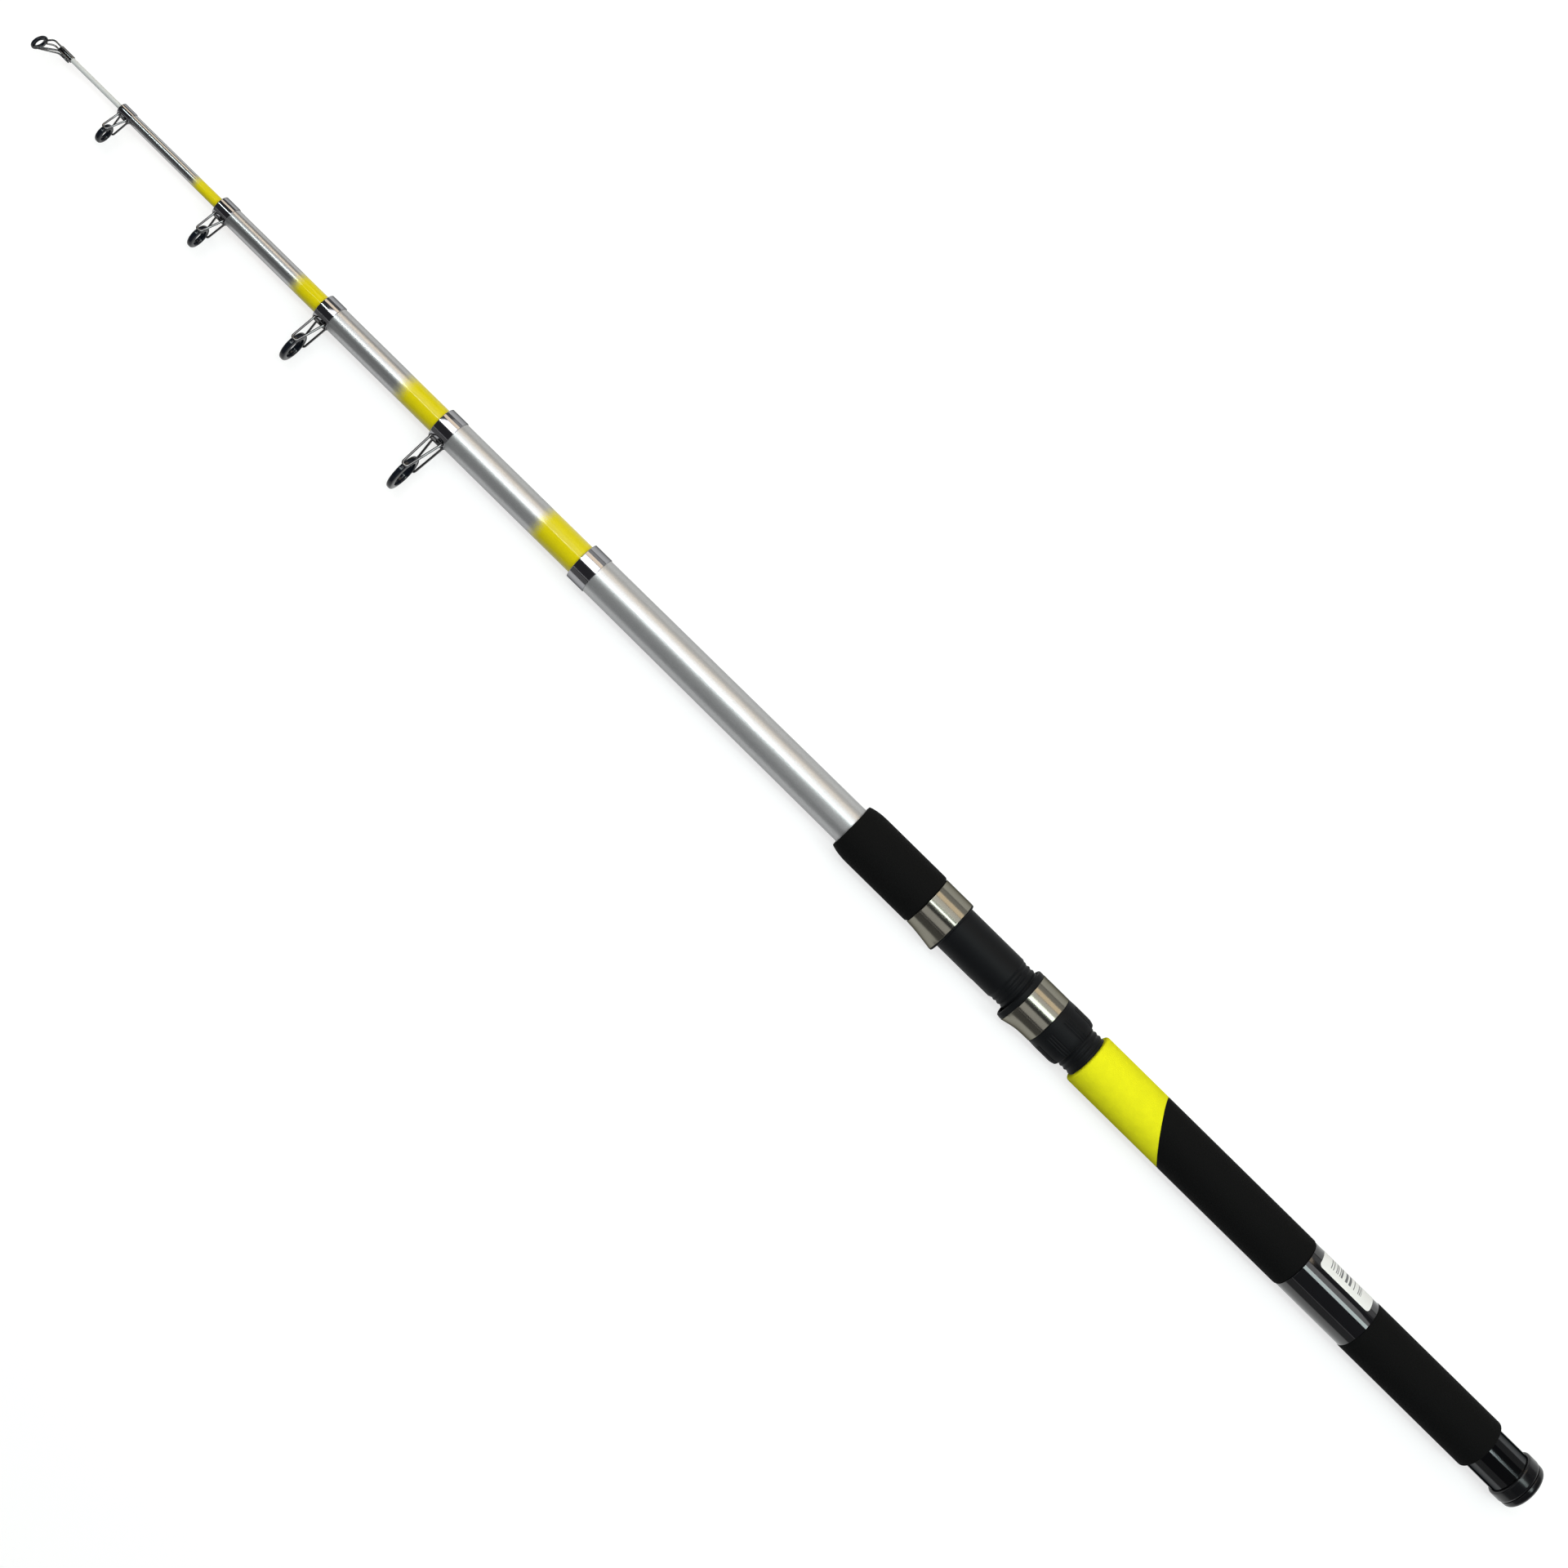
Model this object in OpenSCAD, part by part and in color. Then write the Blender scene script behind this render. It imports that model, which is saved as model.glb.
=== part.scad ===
// Telescopic fishing rod, partly drawn out and lying on its side.
// The rod axis is X with the tip at +X, and Z is up. The line guides point to +Y.
// The origin is on the axis at the middle of the reel saddle. All sizes are in millimetres.

/* [Butt section] */
// Wall of the butt blank at its mouth
butt_wall = 0.9; // [0.6:0.05:1.6]
// Growth of the butt blank's radius from mouth to butt end
butt_swell = 2.1; // [1:0.05:3]
// Bare blank between the fore grip and the butt collar
front_tube_l = 193.9; // [120:0.2:300]
// Length of the chrome collar at the mouth of the butt
butt_collar_l = 12; // [6:0.1:18]
// Bare blank between the lower grip and the butt insert
bare_tube_l = 21.7; // [8:0.1:40]

/* [Section 2] */
// Wall at the mouth
s2_wall = 0.85; // [0.5:0.05:1.4]
// Growth of the radius from mouth to base
s2_swell = 0.87; // [0.4:0.01:1.5]
// Bare blank shown ahead of the butt collar
s2_out = 95.9; // [20:0.1:160]
// Length of the guide collar
s2_collar_l = 11.2; // [8:0.1:18]
// Height of the guide ring's centre above the axis
s2_guide_h = 34; // [28:0.1:42]
// Outside diameter of the guide ring
s2_ring_d = 23; // [18:0.1:26]
// Bore of the guide ring
s2_ring_bore = 15.8; // [12:0.1:17]
// Length of the guide ring along the line
s2_ring_l = 4; // [2:0.1:5]
// Guide wire diameter
s2_wire_d = 1.4; // [0.8:0.05:1.8]

/* [Section 3] */
// Wall at the mouth
s3_wall = 0.8; // [0.5:0.05:1.3]
// Growth of the radius from mouth to base
s3_swell = 0.77; // [0.4:0.01:1.5]
// Bare blank shown ahead of the parent collar
s3_out = 80; // [20:0.1:160]
// Length of the guide collar
s3_collar_l = 10.1; // [8:0.1:18]
// Height of the guide ring's centre above the axis
s3_guide_h = 26.9; // [22:0.1:34]
// Outside diameter of the guide ring
s3_ring_d = 18.9; // [14:0.1:22]
// Bore of the guide ring
s3_ring_bore = 12.2; // [8:0.1:13.5]
// Length of the guide ring along the line
s3_ring_l = 4; // [2:0.1:5]
// Guide wire diameter
s3_wire_d = 1.3; // [0.8:0.05:1.8]

/* [Section 4] */
// Wall at the mouth
s4_wall = 0.75; // [0.5:0.05:1.2]
// Growth of the radius from mouth to base
s4_swell = 1.22; // [0.6:0.01:2]
// Bare blank shown ahead of the parent collar
s4_out = 69; // [20:0.1:160]
// Length of the guide collar
s4_collar_l = 9.6; // [8:0.1:18]
// Height of the guide ring's centre above the axis
s4_guide_h = 20.5; // [17:0.1:28]
// Outside diameter of the guide ring
s4_ring_d = 14.6; // [10:0.1:17]
// Bore of the guide ring
s4_ring_bore = 8.8; // [5:0.1:9.5]
// Length of the guide ring along the line
s4_ring_l = 3.6; // [2:0.1:4.5]
// Guide wire diameter
s4_wire_d = 1.2; // [0.8:0.05:1.6]

/* [Section 5] */
// Wall at the mouth
s5_wall = 0.61; // [0.4:0.01:1]
// Growth of the radius from mouth to base
s5_swell = 1.66; // [0.8:0.01:2.5]
// Bare blank shown ahead of the parent collar
s5_out = 66.6; // [20:0.1:160]
// Length of the guide collar
s5_collar_l = 8.7; // [6:0.1:14]
// Height of the guide ring's centre above the axis
s5_guide_h = 16.4; // [13:0.1:22]
// Outside diameter of the guide ring
s5_ring_d = 11.9; // [9:0.1:14]
// Bore of the guide ring
s5_ring_bore = 6.6; // [4:0.1:7]
// Length of the guide ring along the line
s5_ring_l = 3.4; // [1.8:0.1:4]
// Guide wire diameter
s5_wire_d = 1.1; // [0.7:0.05:1.4]

/* [Tip section] */
// Diameter of the solid tip at the ferrule
tip_d = 2.9; // [2:0.05:4]
// Growth of the tip's radius from ferrule to base
tip_swell = 0.92; // [0.5:0.01:1.5]
// Bare tip shown ahead of the parent collar
tip_out = 37.4; // [10:0.1:120]
// Length of the ferrule tube
ferrule_l = 9; // [4:0.1:12]
// Wall of the ferrule tube
ferrule_wall = 0.45; // [0.3:0.05:0.8]
// Distance from the ferrule's front to the ring's centre
tip_ring_ahead = 9.5; // [9:0.1:18]
// Distance of the tip ring's centre from the axis
tip_ring_h = 6.2; // [5:0.1:9]
// Outside diameter of the tip ring
tip_ring_d = 10; // [8:0.1:13]
// Bore of the tip ring
tip_ring_bore = 5; // [3:0.1:6]
// Length of the tip ring along the line
tip_ring_l = 1.7; // [1.8:0.1:4]
// Forward lean of the ring's outer edge in degrees
tip_ring_lean = 14; // [0:1:30]
// Wire diameter of the tip frame
tip_wire_d = 1; // [0.6:0.05:1.4]
// Turn of the tip guide about the rod axis in degrees
tip_turn = 22; // [-30:1:30]
// Angle of the braces round the ferrule from the ring's side in degrees
brace_angle = 35; // [28:1:45]
// Distance of each arm from the middle where it meets the ring
arm_spread = 1.6; // [0.8:0.1:2]
// Distance of the tip frame's wire ends from the ferrule's rear
tip_foot_inset = 1.2; // [0.5:0.1:2]
// Distance of the upper arm's bend ahead of the ferrule
arm_bend_ahead = 4.7; // [3:0.1:9]
// Distance of the lower braces' bend behind the ferrule's front
brace_bend_back = 1; // [0.5:0.1:2]
// Distance of each lower brace from the middle where it meets the ring
brace_spread = 0.45; // [0:0.05:1]

/* [Collars and guides] */
// Wall of every chrome collar
collar_wall = 0.4; // [0.3:0.05:0.8]
// Thickness of the lip that covers the blank's end
collar_lip = 0.6; // [0.3:0.05:1.2]
// Thickness of the saddle that joins the wires to the collar
saddle_t = 0.6; // [0.4:0.05:1]
// Half angle of the saddle round the collar in degrees
saddle_angle = 38; // [20:1:60]
// Distance of the wire feet from the collar's ends
foot_inset = 1.1; // [0.9:0.1:2.4]
// Distance of each guide ring ahead of the middle of its collar
ring_ahead = 1.5; // [0:0.1:2.5]
// Turn of the guides and hoods about the rod axis in degrees
guide_turn = 0; // [-20:1:20]
// Width of a hairpin's closed end as a share of the ring's length
clasp_share = 0.85; // [0.4:0.05:0.9]

/* [Reel seat] */
// Outside diameter of the seat's barrel at the saddle
seat_d = 27.6; // [25.4:0.1:32]
// Outside diameter of the seat's thread
thread_d = 26.7; // [25.4:0.1:31]
// Length of barrel that carries the thread
thread_l = 61; // [45:0.5:75]
// Thread left bare behind the lock nut
thread_tail = 10.1; // [4:0.1:20]
// Open saddle between the two hoods
saddle_gap = 50; // [40:0.5:70]
// Outside diameter of both steel hoods
hood_d = 31.4; // [29:0.1:36]
// Thickness of the steel shells
hood_shell_t = 0.6; // [0.4:0.05:1]
// Thickness of the liner over the foot pocket
liner_t = 1; // [0.6:0.05:1.6]
// Radius of the bulge that holds the reel foot
bulge_r = 10.5; // [8:0.1:12]
// Reach of the fixed hood's bulge at its open end
fixed_reach = 17.9; // [16.5:0.1:20]
// Reach of the fixed hood's bulge at its closed end
fixed_reach_back = 15; // [14:0.1:16]
// Length of the fixed steel shell
fixed_shell_l = 19.2; // [14:0.1:26]
// Length of the fixed liner's lip
fixed_lip_l = 1.2; // [0.6:0.1:3]
// Reach of the sliding hood's bulge at its open end
sliding_reach = 18; // [16.5:0.1:20]
// Slope of the sliding hood's bulge in degrees
sliding_slope = 14.8; // [6:0.1:22]
// Length of the sliding steel shell
sliding_shell_l = 18.7; // [14:0.1:26]
// Length of the sliding liner's lip
sliding_lip_l = 3.6; // [2:0.1:7]
// Depth of both foot pockets
pocket_l = 14; // [8:0.5:18]
// Taper of both foot pockets over their depth
pocket_taper = 1; // [0.4:0.1:1.5]
// Set-in of the liners' lips from the steel shells
lip_inset = 0.1; // [0.05:0.05:0.4]
// Drop of the sliding lip toward its open end
lip_drop = 0.4; // [0:0.1:1]
// Length of the slope from the thread up to the saddle
thread_slope_l = 1; // [0.5:0.1:3]
// Width of the key that stops the sliding hood turning
key_w = 3.6; // [2.5:0.1:5]
// Length of the key
key_l = 12; // [8:0.5:16]
// Depth of the key below the thread's crest
key_depth = 0.5; // [0.3:0.1:0.6]
// Root of the key in the liner
key_root = 0.4; // [0.2:0.1:0.6]
// Distance of the key behind the open end of the sliding shell
key_setback = 4; // [1:0.5:4]

/* [Lock nut] */
// Length of the lock nut
nut_l = 18.9; // [12:0.1:26]
// Outside diameter of the lock nut
nut_d = 31.8; // [30:0.1:36]
// Length of the slope at the nut's rear edge
nut_edge_l = 3; // [1:0.1:4]
// Drop of the slope at the nut's rear edge
nut_edge_drop = 0.9; // [0.3:0.1:1.5]
// Groups of grip grooves round the nut
groove_groups = 8; // [6:1:12]
// Angle between the grooves of a group in degrees
groove_step = 6.5; // [5:0.5:9]
// Width of a grip groove
groove_w = 0.9; // [0.4:0.05:1.3]
// Depth of a grip groove
groove_d = 0.36; // [0.1:0.02:0.6]

/* [Grips] */
// Length of the fore grip
fore_grip_l = 57.8; // [40:0.5:90]
// Diameter of the fore grip
fore_grip_d = 32.4; // [30:0.1:38]
// Diameter of the fore grip's front face
fore_grip_nose_d = 28.4; // [26:0.1:32]
// Length of the fore grip's rounded nose
fore_grip_nose_l = 12; // [5:0.5:25]
// Length of the soft edge round the fore grip's front face
fore_grip_rim = 1; // [0.5:0.1:2]
// Length of the rear grip, both colours together
rear_grip_l = 159.2; // [120:0.5:240]
// Diameter of the rear grip
rear_grip_d = 32; // [30:0.1:38]
// Length of the yellow part on the axis
yellow_l = 58.4; // [35:0.5:90]
// Slope of the oblique joint toward the guides
joint_slope_y = 0.695; // [0:0.005:1]
// Slope of the oblique joint toward the top
joint_slope_z = 0.35; // [0:0.005:1]
// Length of the hard sleeve between the rear and lower grips
sleeve_l = 47.7; // [20:0.2:90]
// Diameter of the hard sleeve
sleeve_d = 31.2; // [29:0.1:36]
// Length of the lower grip
lower_grip_l = 93.3; // [60:0.2:160]
// Diameter of the lower grip
lower_grip_d = 31.7; // [31:0.1:38]
// Length of the rounding at the rear of the lower grip
lower_edge_l = 3.5; // [1:0.1:6]
// Rounding at the ends of the foam grips
grip_edge_r = 2.4; // [0.5:0.1:4]

/* [Butt cap] */
// Length of the insert's flange
flange_l = 8.2; // [4:0.1:10]
// Diameter of the insert's flange
flange_d = 29.8; // [28:0.1:31]
// Rounding of the flange's bead
flange_edge_r = 2; // [1:0.1:2.9]
// Length of the insert inside the blank
insert_l = 20; // [14:0.5:30]
// Wall of the insert
insert_wall = 1.2; // [0.8:0.05:1.8]
// Room round the base of section 2 in the spigot's thread
insert_room = 0.72; // [0.4:0.02:1]
// Length of the cap outside the insert
cap_l = 6.5; // [6:0.1:18]
// Diameter of the cap
cap_d = 28.9; // [27:0.1:31]
// Rounding between the cap's side and its domed end
cap_edge_r = 2.8; // [1:0.1:5]
// Height of the cap's dome
cap_crown = 2.2; // [0.5:0.1:4]
// Rounding of the cap's front rim
cap_rim_r = 0.8; // [0.3:0.1:1.5]
// Length of the cap's threaded spigot
spigot_l = 8; // [5:0.1:14]
// Thickness of the pad on the spigot
pad_t = 4; // [2:0.1:8]
// Set-in of the pad from the spigot's side
pad_inset = 0.3; // [0.1:0.1:1]

/* [Fits] */
// Gap between pieces that are glued together
bond = 0.03; // [0.01:0.01:0.1]
// Gap between grips, hoods and seat end to end
butt_joint = 0.05; // [0.02:0.01:0.2]
// Least radial clearance of a section in its parent's mouth
slip = 0.08; // [0.04:0.01:0.2]
// Radial growth of every bore from mouth to base
bore_draft = 0.5; // [0.2:0.05:0.8]
// Radial clearance of the sliding hood on the barrel
hood_clear = 0.15; // [0.05:0.01:0.3]
// Radial clearance of the lock nut on the thread
nut_clear = 0.1; // [0.04:0.01:0.2]
// Gap between the lock nut and the sliding hood
nut_face_gap = 0.15; // [0.05:0.01:0.4]
// Clearance of the key in its slot on each side
key_clear = 0.2; // [0.1:0.05:0.4]
// Radial clearance of the cap's spigot in the insert
spigot_clear = 0.1; // [0.04:0.01:0.2]
// Gap between collars when the rod is closed
nest_gap = 0.4; // [0.2:0.05:1]
// Gap between the closed sections and the pad
stack_gap = 0.5; // [0.2:0.05:2]

/* [Hidden] */
$fn = 96;
// Reach of cutting shapes past what they cut
over = 1;
// Diameter of a bend over that of its wire
bend_swell = 1.08;
// Depth of the wire feet in the saddle, as a share of its thickness
foot_sink = 0.6;
// Angle of the wire feet, as a share of the saddle's half angle
foot_share = 0.75;
// Rounding of a collar's front edge, as a share of its wall
collar_edge_share = 0.75;
// Rounding of a ring's edges, as shares of its length and of its width
ring_round_l = 0.34;
ring_round_w = 0.45;
// Sweep of the fore grip's rounded nose in degrees
nose_sweep = 75;
// Angle at which the cap's rounding meets its dome in degrees
dome_meet = 62;

// Radii from the tip outward: each bore clears the base of the section inside it
tip_r = tip_d / 2;
tip_base_r = tip_r + tip_swell;
s5_bore_r = tip_base_r + slip;
s5_r = s5_bore_r + s5_wall;
s5_base_r = s5_r + s5_swell;
s4_bore_r = s5_base_r + slip;
s4_r = s4_bore_r + s4_wall;
s4_base_r = s4_r + s4_swell;
s3_bore_r = s4_base_r + slip;
s3_r = s3_bore_r + s3_wall;
s3_base_r = s3_r + s3_swell;
s2_bore_r = s3_base_r + slip;
s2_r = s2_bore_r + s2_wall;
s2_base_r = s2_r + s2_swell;
butt_bore_r = s2_base_r + slip;
butt_r = butt_bore_r + butt_wall;
butt_base_r = butt_r + butt_swell;

// Stations from the saddle toward the tip
fixed_lip_x = saddle_gap / 2;
fixed_shell_x = fixed_lip_x + fixed_lip_l;
fore_grip_x = fixed_shell_x + fixed_shell_l;
fore_grip_end = fore_grip_x + fore_grip_l;
butt_collar_x = fore_grip_end + front_tube_l;
mouth_x = butt_collar_x + butt_collar_l;
s2_collar_x = mouth_x + s2_out;
s2_x = s2_collar_x + s2_collar_l;
s3_collar_x = s2_x + s3_out;
s3_x = s3_collar_x + s3_collar_l;
s4_collar_x = s3_x + s4_out;
s4_x = s4_collar_x + s4_collar_l;
s5_collar_x = s4_x + s5_out;
s5_x = s5_collar_x + s5_collar_l;
ferrule_x = s5_x + tip_out;
ferrule_end = ferrule_x + ferrule_l;
tip_ring_x = ferrule_end + tip_ring_ahead;

// Stations from the saddle toward the butt
sliding_lip_x = -saddle_gap / 2;
sliding_shell_x = sliding_lip_x - sliding_lip_l;
sliding_end = sliding_shell_x - sliding_shell_l;
nut_x = sliding_end - nut_face_gap;
nut_end = nut_x - nut_l;
rear_grip_x = nut_end - thread_tail;
thread_x = rear_grip_x + thread_l;
joint_x = rear_grip_x - yellow_l;
sleeve_x = rear_grip_x - rear_grip_l;
lower_grip_x = sleeve_x - sleeve_l;
lower_grip_end = lower_grip_x - lower_grip_l;
blank_end = lower_grip_end - bare_tube_l;
flange_end = blank_end - flange_l;
cap_end = flange_end - cap_l;
spigot_x = flange_end + spigot_l;
pad_x = spigot_x + pad_t;
stack_x = pad_x + stack_gap;

// Blank lengths that bring every base to the pad when the rod is closed
s2_l = mouth_x + nest_gap + s2_collar_l - stack_x;
s3_l = s2_l + nest_gap + s3_collar_l;
s4_l = s3_l + nest_gap + s4_collar_l;
s5_l = s4_l + nest_gap + s5_collar_l;
tip_l = s5_l + nest_gap + ferrule_l;

// Insert, spigot, barrel and slot
insert_bore_r = s2_base_r + insert_room + spigot_clear;
insert_r = insert_bore_r + insert_wall;
spigot_r = insert_bore_r - spigot_clear;
pad_r = spigot_r - pad_inset;
seat_r = seat_d / 2;
thread_r = thread_d / 2;
hood_r = hood_d / 2;
hood_bore_r = seat_r + hood_clear;
nut_bore_r = thread_r + nut_clear;
slot_w = key_w + 2 * key_clear;
key_x = sliding_shell_x - key_setback;
slot_front = thread_x + pocket_l;
slot_rear = nut_end;

steel = [0.72, 0.7, 0.64];
chrome = [0.82, 0.83, 0.85];
silver = [0.66, 0.66, 0.67];
black = [0.06, 0.06, 0.065];
foam_black = [0.09, 0.09, 0.095];
yellow = [0.86, 0.86, 0.1];
glass = [0.82, 0.83, 0.82];

// Radius of the butt blank's outside at station x
function blank_r(x) = butt_r + butt_swell * (butt_collar_x - x) / (butt_collar_x - blank_end);

// Points [radius, station] of a quarter round from angle a0 to a1 about [r, x]
function round_pts(r, x, e, a0, a1, n = 6) =
    [for (i = [0 : n]) let (a = a0 + (a1 - a0) * i / n) [r + e * cos(a), x + e * sin(a)]];

// Turns a profile of [radius, station] points about the rod axis
module turned(points) {
    rotate([0, 90, 0])
        rotate_extrude()
            polygon(points);
}

// Cylinder on the rod axis from station x0 to x1
module bar(r, x0, x1) {
    translate([x0, 0, 0])
        rotate([0, 90, 0])
            cylinder(r = r, h = x1 - x0);
}

// Turns a guide or hood about the rod axis from the level plane
module turned_to(angle = guide_turn) {
    rotate([angle, 0, 0])
        children();
}

// Straight wire between two points
module wire(p, q, d) {
    v = q - p;
    l = norm(v);
    translate(p)
        rotate([0, acos(v[2] / l), atan2(v[1], v[0])])
            cylinder(d = d, h = l, $fn = 32);
}

// Rounded bend where two wires of diameter d meet
module bend(p, d) {
    translate(p)
        sphere(d = d * bend_swell, $fn = 32);
}

// Hollow section: a collar seat at the front, then a taper to the base
module section_blank(front, collar_l, l, r, base_r, bore_r) {
    end = front - collar_lip - bond;
    base = front - l;
    turned([
        [bore_r + bore_draft, base], [base_r, base], [r, front - collar_l],
        [r, end], [bore_r, end]
    ]);
}

// Chrome collar with a lip turned in over the blank's end
module mouth_collar(rear, front, r, bore_r) {
    seat = r + bond;
    outer = seat + collar_wall;
    edge = collar_wall * collar_edge_share;
    turned(concat(
        [[seat, rear], [outer, rear]],
        round_pts(outer - edge, front - edge, edge, 0, 90),
        [[bore_r, front], [bore_r, front - collar_lip], [seat, front - collar_lip]]
    ));
}

// Guide ring with a straight land in the bore and rounded edges
module line_ring(d, bore, l) {
    r = d / 2;
    b = bore / 2;
    e = min(l * ring_round_l, (r - b) * ring_round_w);
    turned(concat(
        [[b, -l / 2 + e], [b, l / 2 - e]],
        round_pts(b + e, l / 2 - e, e, 180, 90),
        round_pts(r - e, l / 2 - e, e, 90, 0),
        round_pts(r - e, -l / 2 + e, e, 0, -90),
        round_pts(b + e, -l / 2 + e, e, -90, -180)
    ));
}

// Two hairpins that leave the collar's saddle and clasp the ring where their legs touch it
module guide_frame(rear, front, collar_r, guide_h, ring_d, ring_l, wire_d) {
    mid = (rear + front) / 2 + ring_ahead;
    foot_r = collar_r + bond + saddle_t * foot_sink;
    foot_a = saddle_angle * foot_share;
    foot_y = foot_r * cos(foot_a);
    foot_z = foot_r * sin(foot_a);
    clasp_r = ring_d / 2 + bond + wire_d * bend_swell / 2;
    clasp_half = ring_l * clasp_share / 2;
    from_ring = [foot_y - guide_h, foot_z];
    turn = atan2(from_ring[1], from_ring[0]) - acos(clasp_r / norm(from_ring));
    clasp_y = guide_h + clasp_r * cos(turn);
    clasp_z = clasp_r * sin(turn);
    front_foot = front - foot_inset - wire_d / 2;
    rear_foot = rear + foot_inset + wire_d / 2;
    turned_to() {
        for (side = [-1, 1]) {
            front_clasp = [mid + clasp_half, clasp_y, side * clasp_z];
            rear_clasp = [mid - clasp_half, clasp_y, side * clasp_z];
            wire([front_foot, foot_y, side * foot_z], front_clasp, wire_d);
            bend(front_clasp, wire_d);
            wire(front_clasp, rear_clasp, wire_d);
            bend(rear_clasp, wire_d);
            wire([rear_foot, foot_y, side * foot_z], rear_clasp, wire_d);
        }
        intersection() {
            difference() {
                bar(collar_r + bond + saddle_t, rear_foot - wire_d / 2, front_foot + wire_d / 2);
                bar(collar_r + bond, rear_foot - wire_d, front_foot + wire_d);
            }
            translate([rear, 0, -collar_r * sin(saddle_angle)])
                cube([front - rear, collar_r * 2, 2 * collar_r * sin(saddle_angle)]);
        }
    }
}

// Ring of a section's guide in its place
module guide_ring(rear, front, guide_h, ring_d, ring_bore, ring_l) {
    turned_to()
        translate([(rear + front) / 2 + ring_ahead, guide_h, 0])
            line_ring(ring_d, ring_bore, ring_l);
}

// Cylinder whose outer line leans from reach y0 at x0 to y1 at x1
module bulge(x0, x1, y0, y1, r) {
    lean = atan2(y1 - y0, x1 - x0);
    far = x1 - x0 + 4 * r;
    intersection() {
        translate([x0, y0 - bulge_r, 0])
            rotate([0, 0, lean])
                translate([-2 * r, 0, 0])
                    rotate([0, 90, 0])
                        cylinder(r = r, h = far);
        translate([x0, -2 * hood_r, -2 * hood_r])
            cube([x1 - x0, 4 * hood_r, 4 * hood_r]);
    }
}

// Outside form of a hood, taken in all round by t
module hood_form(x0, x1, y0, y1, t) {
    bar(hood_r - t, x0, x1);
    bulge(x0, x1, y0, y1, bulge_r - t);
}

// Half space behind the oblique joint of the rear grip
module behind_joint(offset) {
    big = 4 * rear_grip_l;
    n = [1, joint_slope_y, -joint_slope_z];
    translate([joint_x + offset, 0, 0])
        rotate([0, acos(n[2] / norm(n)), atan2(n[1], n[0])])
            translate([-big / 2, -big / 2, -big])
                cube([big, big, big]);
}

// Foam tube of the rear grip before it is parted at the oblique joint
module rear_grip_tube() {
    r = rear_grip_d / 2;
    e = grip_edge_r;
    front = rear_grip_x - butt_joint;
    rear = sleeve_x + butt_joint;
    turned(concat(
        [[blank_r(rear) + bond, rear]],
        round_pts(r - e, rear + e, e, -90, 0),
        round_pts(r - e, front - e, e, 0, 90),
        [[blank_r(front) + bond, front]]
    ));
}

module butt_blank() {
    end = mouth_x - collar_lip - bond;
    color(silver)
        turned([
            [insert_r + bond, blank_end], [butt_base_r, blank_end], [butt_r, butt_collar_x],
            [butt_r, end], [butt_bore_r, end], [butt_bore_r + bore_draft, blank_end + insert_l + bond],
            [insert_r + bond, blank_end + insert_l + bond]
        ]);
}

module butt_collar() {
    color(chrome)
        mouth_collar(butt_collar_x, mouth_x, butt_r, butt_bore_r);
}

module fore_grip() {
    r = fore_grip_d / 2;
    nose = fore_grip_nose_d / 2;
    rear = fore_grip_x + butt_joint;
    e = grip_edge_r;
    rim = fore_grip_rim;
    nose_pts = [for (i = [0 : 8]) let (a = nose_sweep * i / 8)
        [nose + (r - nose) * (cos(a) - cos(nose_sweep)) / (1 - cos(nose_sweep)),
         fore_grip_end - fore_grip_nose_l + (fore_grip_nose_l - rim) * sin(a) / sin(nose_sweep)]];
    color(foam_black)
        turned(concat(
            [[blank_r(rear) + bond, rear]],
            round_pts(r - e, rear + e, e, -90, 0),
            nose_pts,
            [[nose - rim, fore_grip_end], [blank_r(fore_grip_end) + bond, fore_grip_end]]
        ));
}

module seat_barrel() {
    front = fore_grip_x;
    bore = max(blank_r(rear_grip_x), blank_r(front)) + bond;
    color(black)
        difference() {
            turned([
                [bore, rear_grip_x], [thread_r, rear_grip_x], [thread_r, thread_x],
                [seat_r, thread_x + thread_slope_l], [seat_r, front], [bore, front]
            ]);
            turned_to()
                translate([slot_rear, 0, -slot_w / 2])
                    cube([slot_front - slot_rear, 2 * seat_r, slot_w]);
        }
}

// Reach of the fixed hood's bulge at station x
function fixed_reach_at(x) =
    fixed_reach - (x - fixed_shell_x) * (fixed_reach - fixed_reach_back) / fixed_shell_l;

module fixed_hood_shell() {
    color(steel)
        turned_to()
            difference() {
                hood_form(fixed_shell_x, fore_grip_x, fixed_reach, fixed_reach_back, 0);
                hood_form(fixed_shell_x - over, fore_grip_x + over, fixed_reach_at(fixed_shell_x - over),
                          fixed_reach_at(fore_grip_x + over), hood_shell_t);
            }
}

module fixed_hood_liner() {
    inside = hood_shell_t + bond;
    color(black)
        turned_to()
            difference() {
                union() {
                    hood_form(fixed_shell_x - bond, fore_grip_x, fixed_reach, fixed_reach_back, inside);
                    hood_form(fixed_lip_x, fixed_shell_x - bond, fixed_reach, fixed_reach, lip_inset);
                }
                bar(seat_r + bond, fixed_lip_x - over, fore_grip_x + over);
                bulge(fixed_lip_x - over, fixed_lip_x + pocket_l, fixed_reach, fixed_reach - pocket_taper,
                      bulge_r - inside - liner_t);
            }
}

// Reach of the sliding hood's bulge at station x
function sliding_reach_at(x) = sliding_reach - (sliding_shell_x - x) * tan(sliding_slope);

module sliding_hood_shell() {
    back = sliding_reach_at(sliding_end);
    color(steel)
        turned_to()
            difference() {
                hood_form(sliding_end, sliding_shell_x, back, sliding_reach, 0);
                hood_form(sliding_end - over, sliding_shell_x + over, sliding_reach_at(sliding_end - over),
                          sliding_reach_at(sliding_shell_x + over), hood_shell_t);
            }
}

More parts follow.
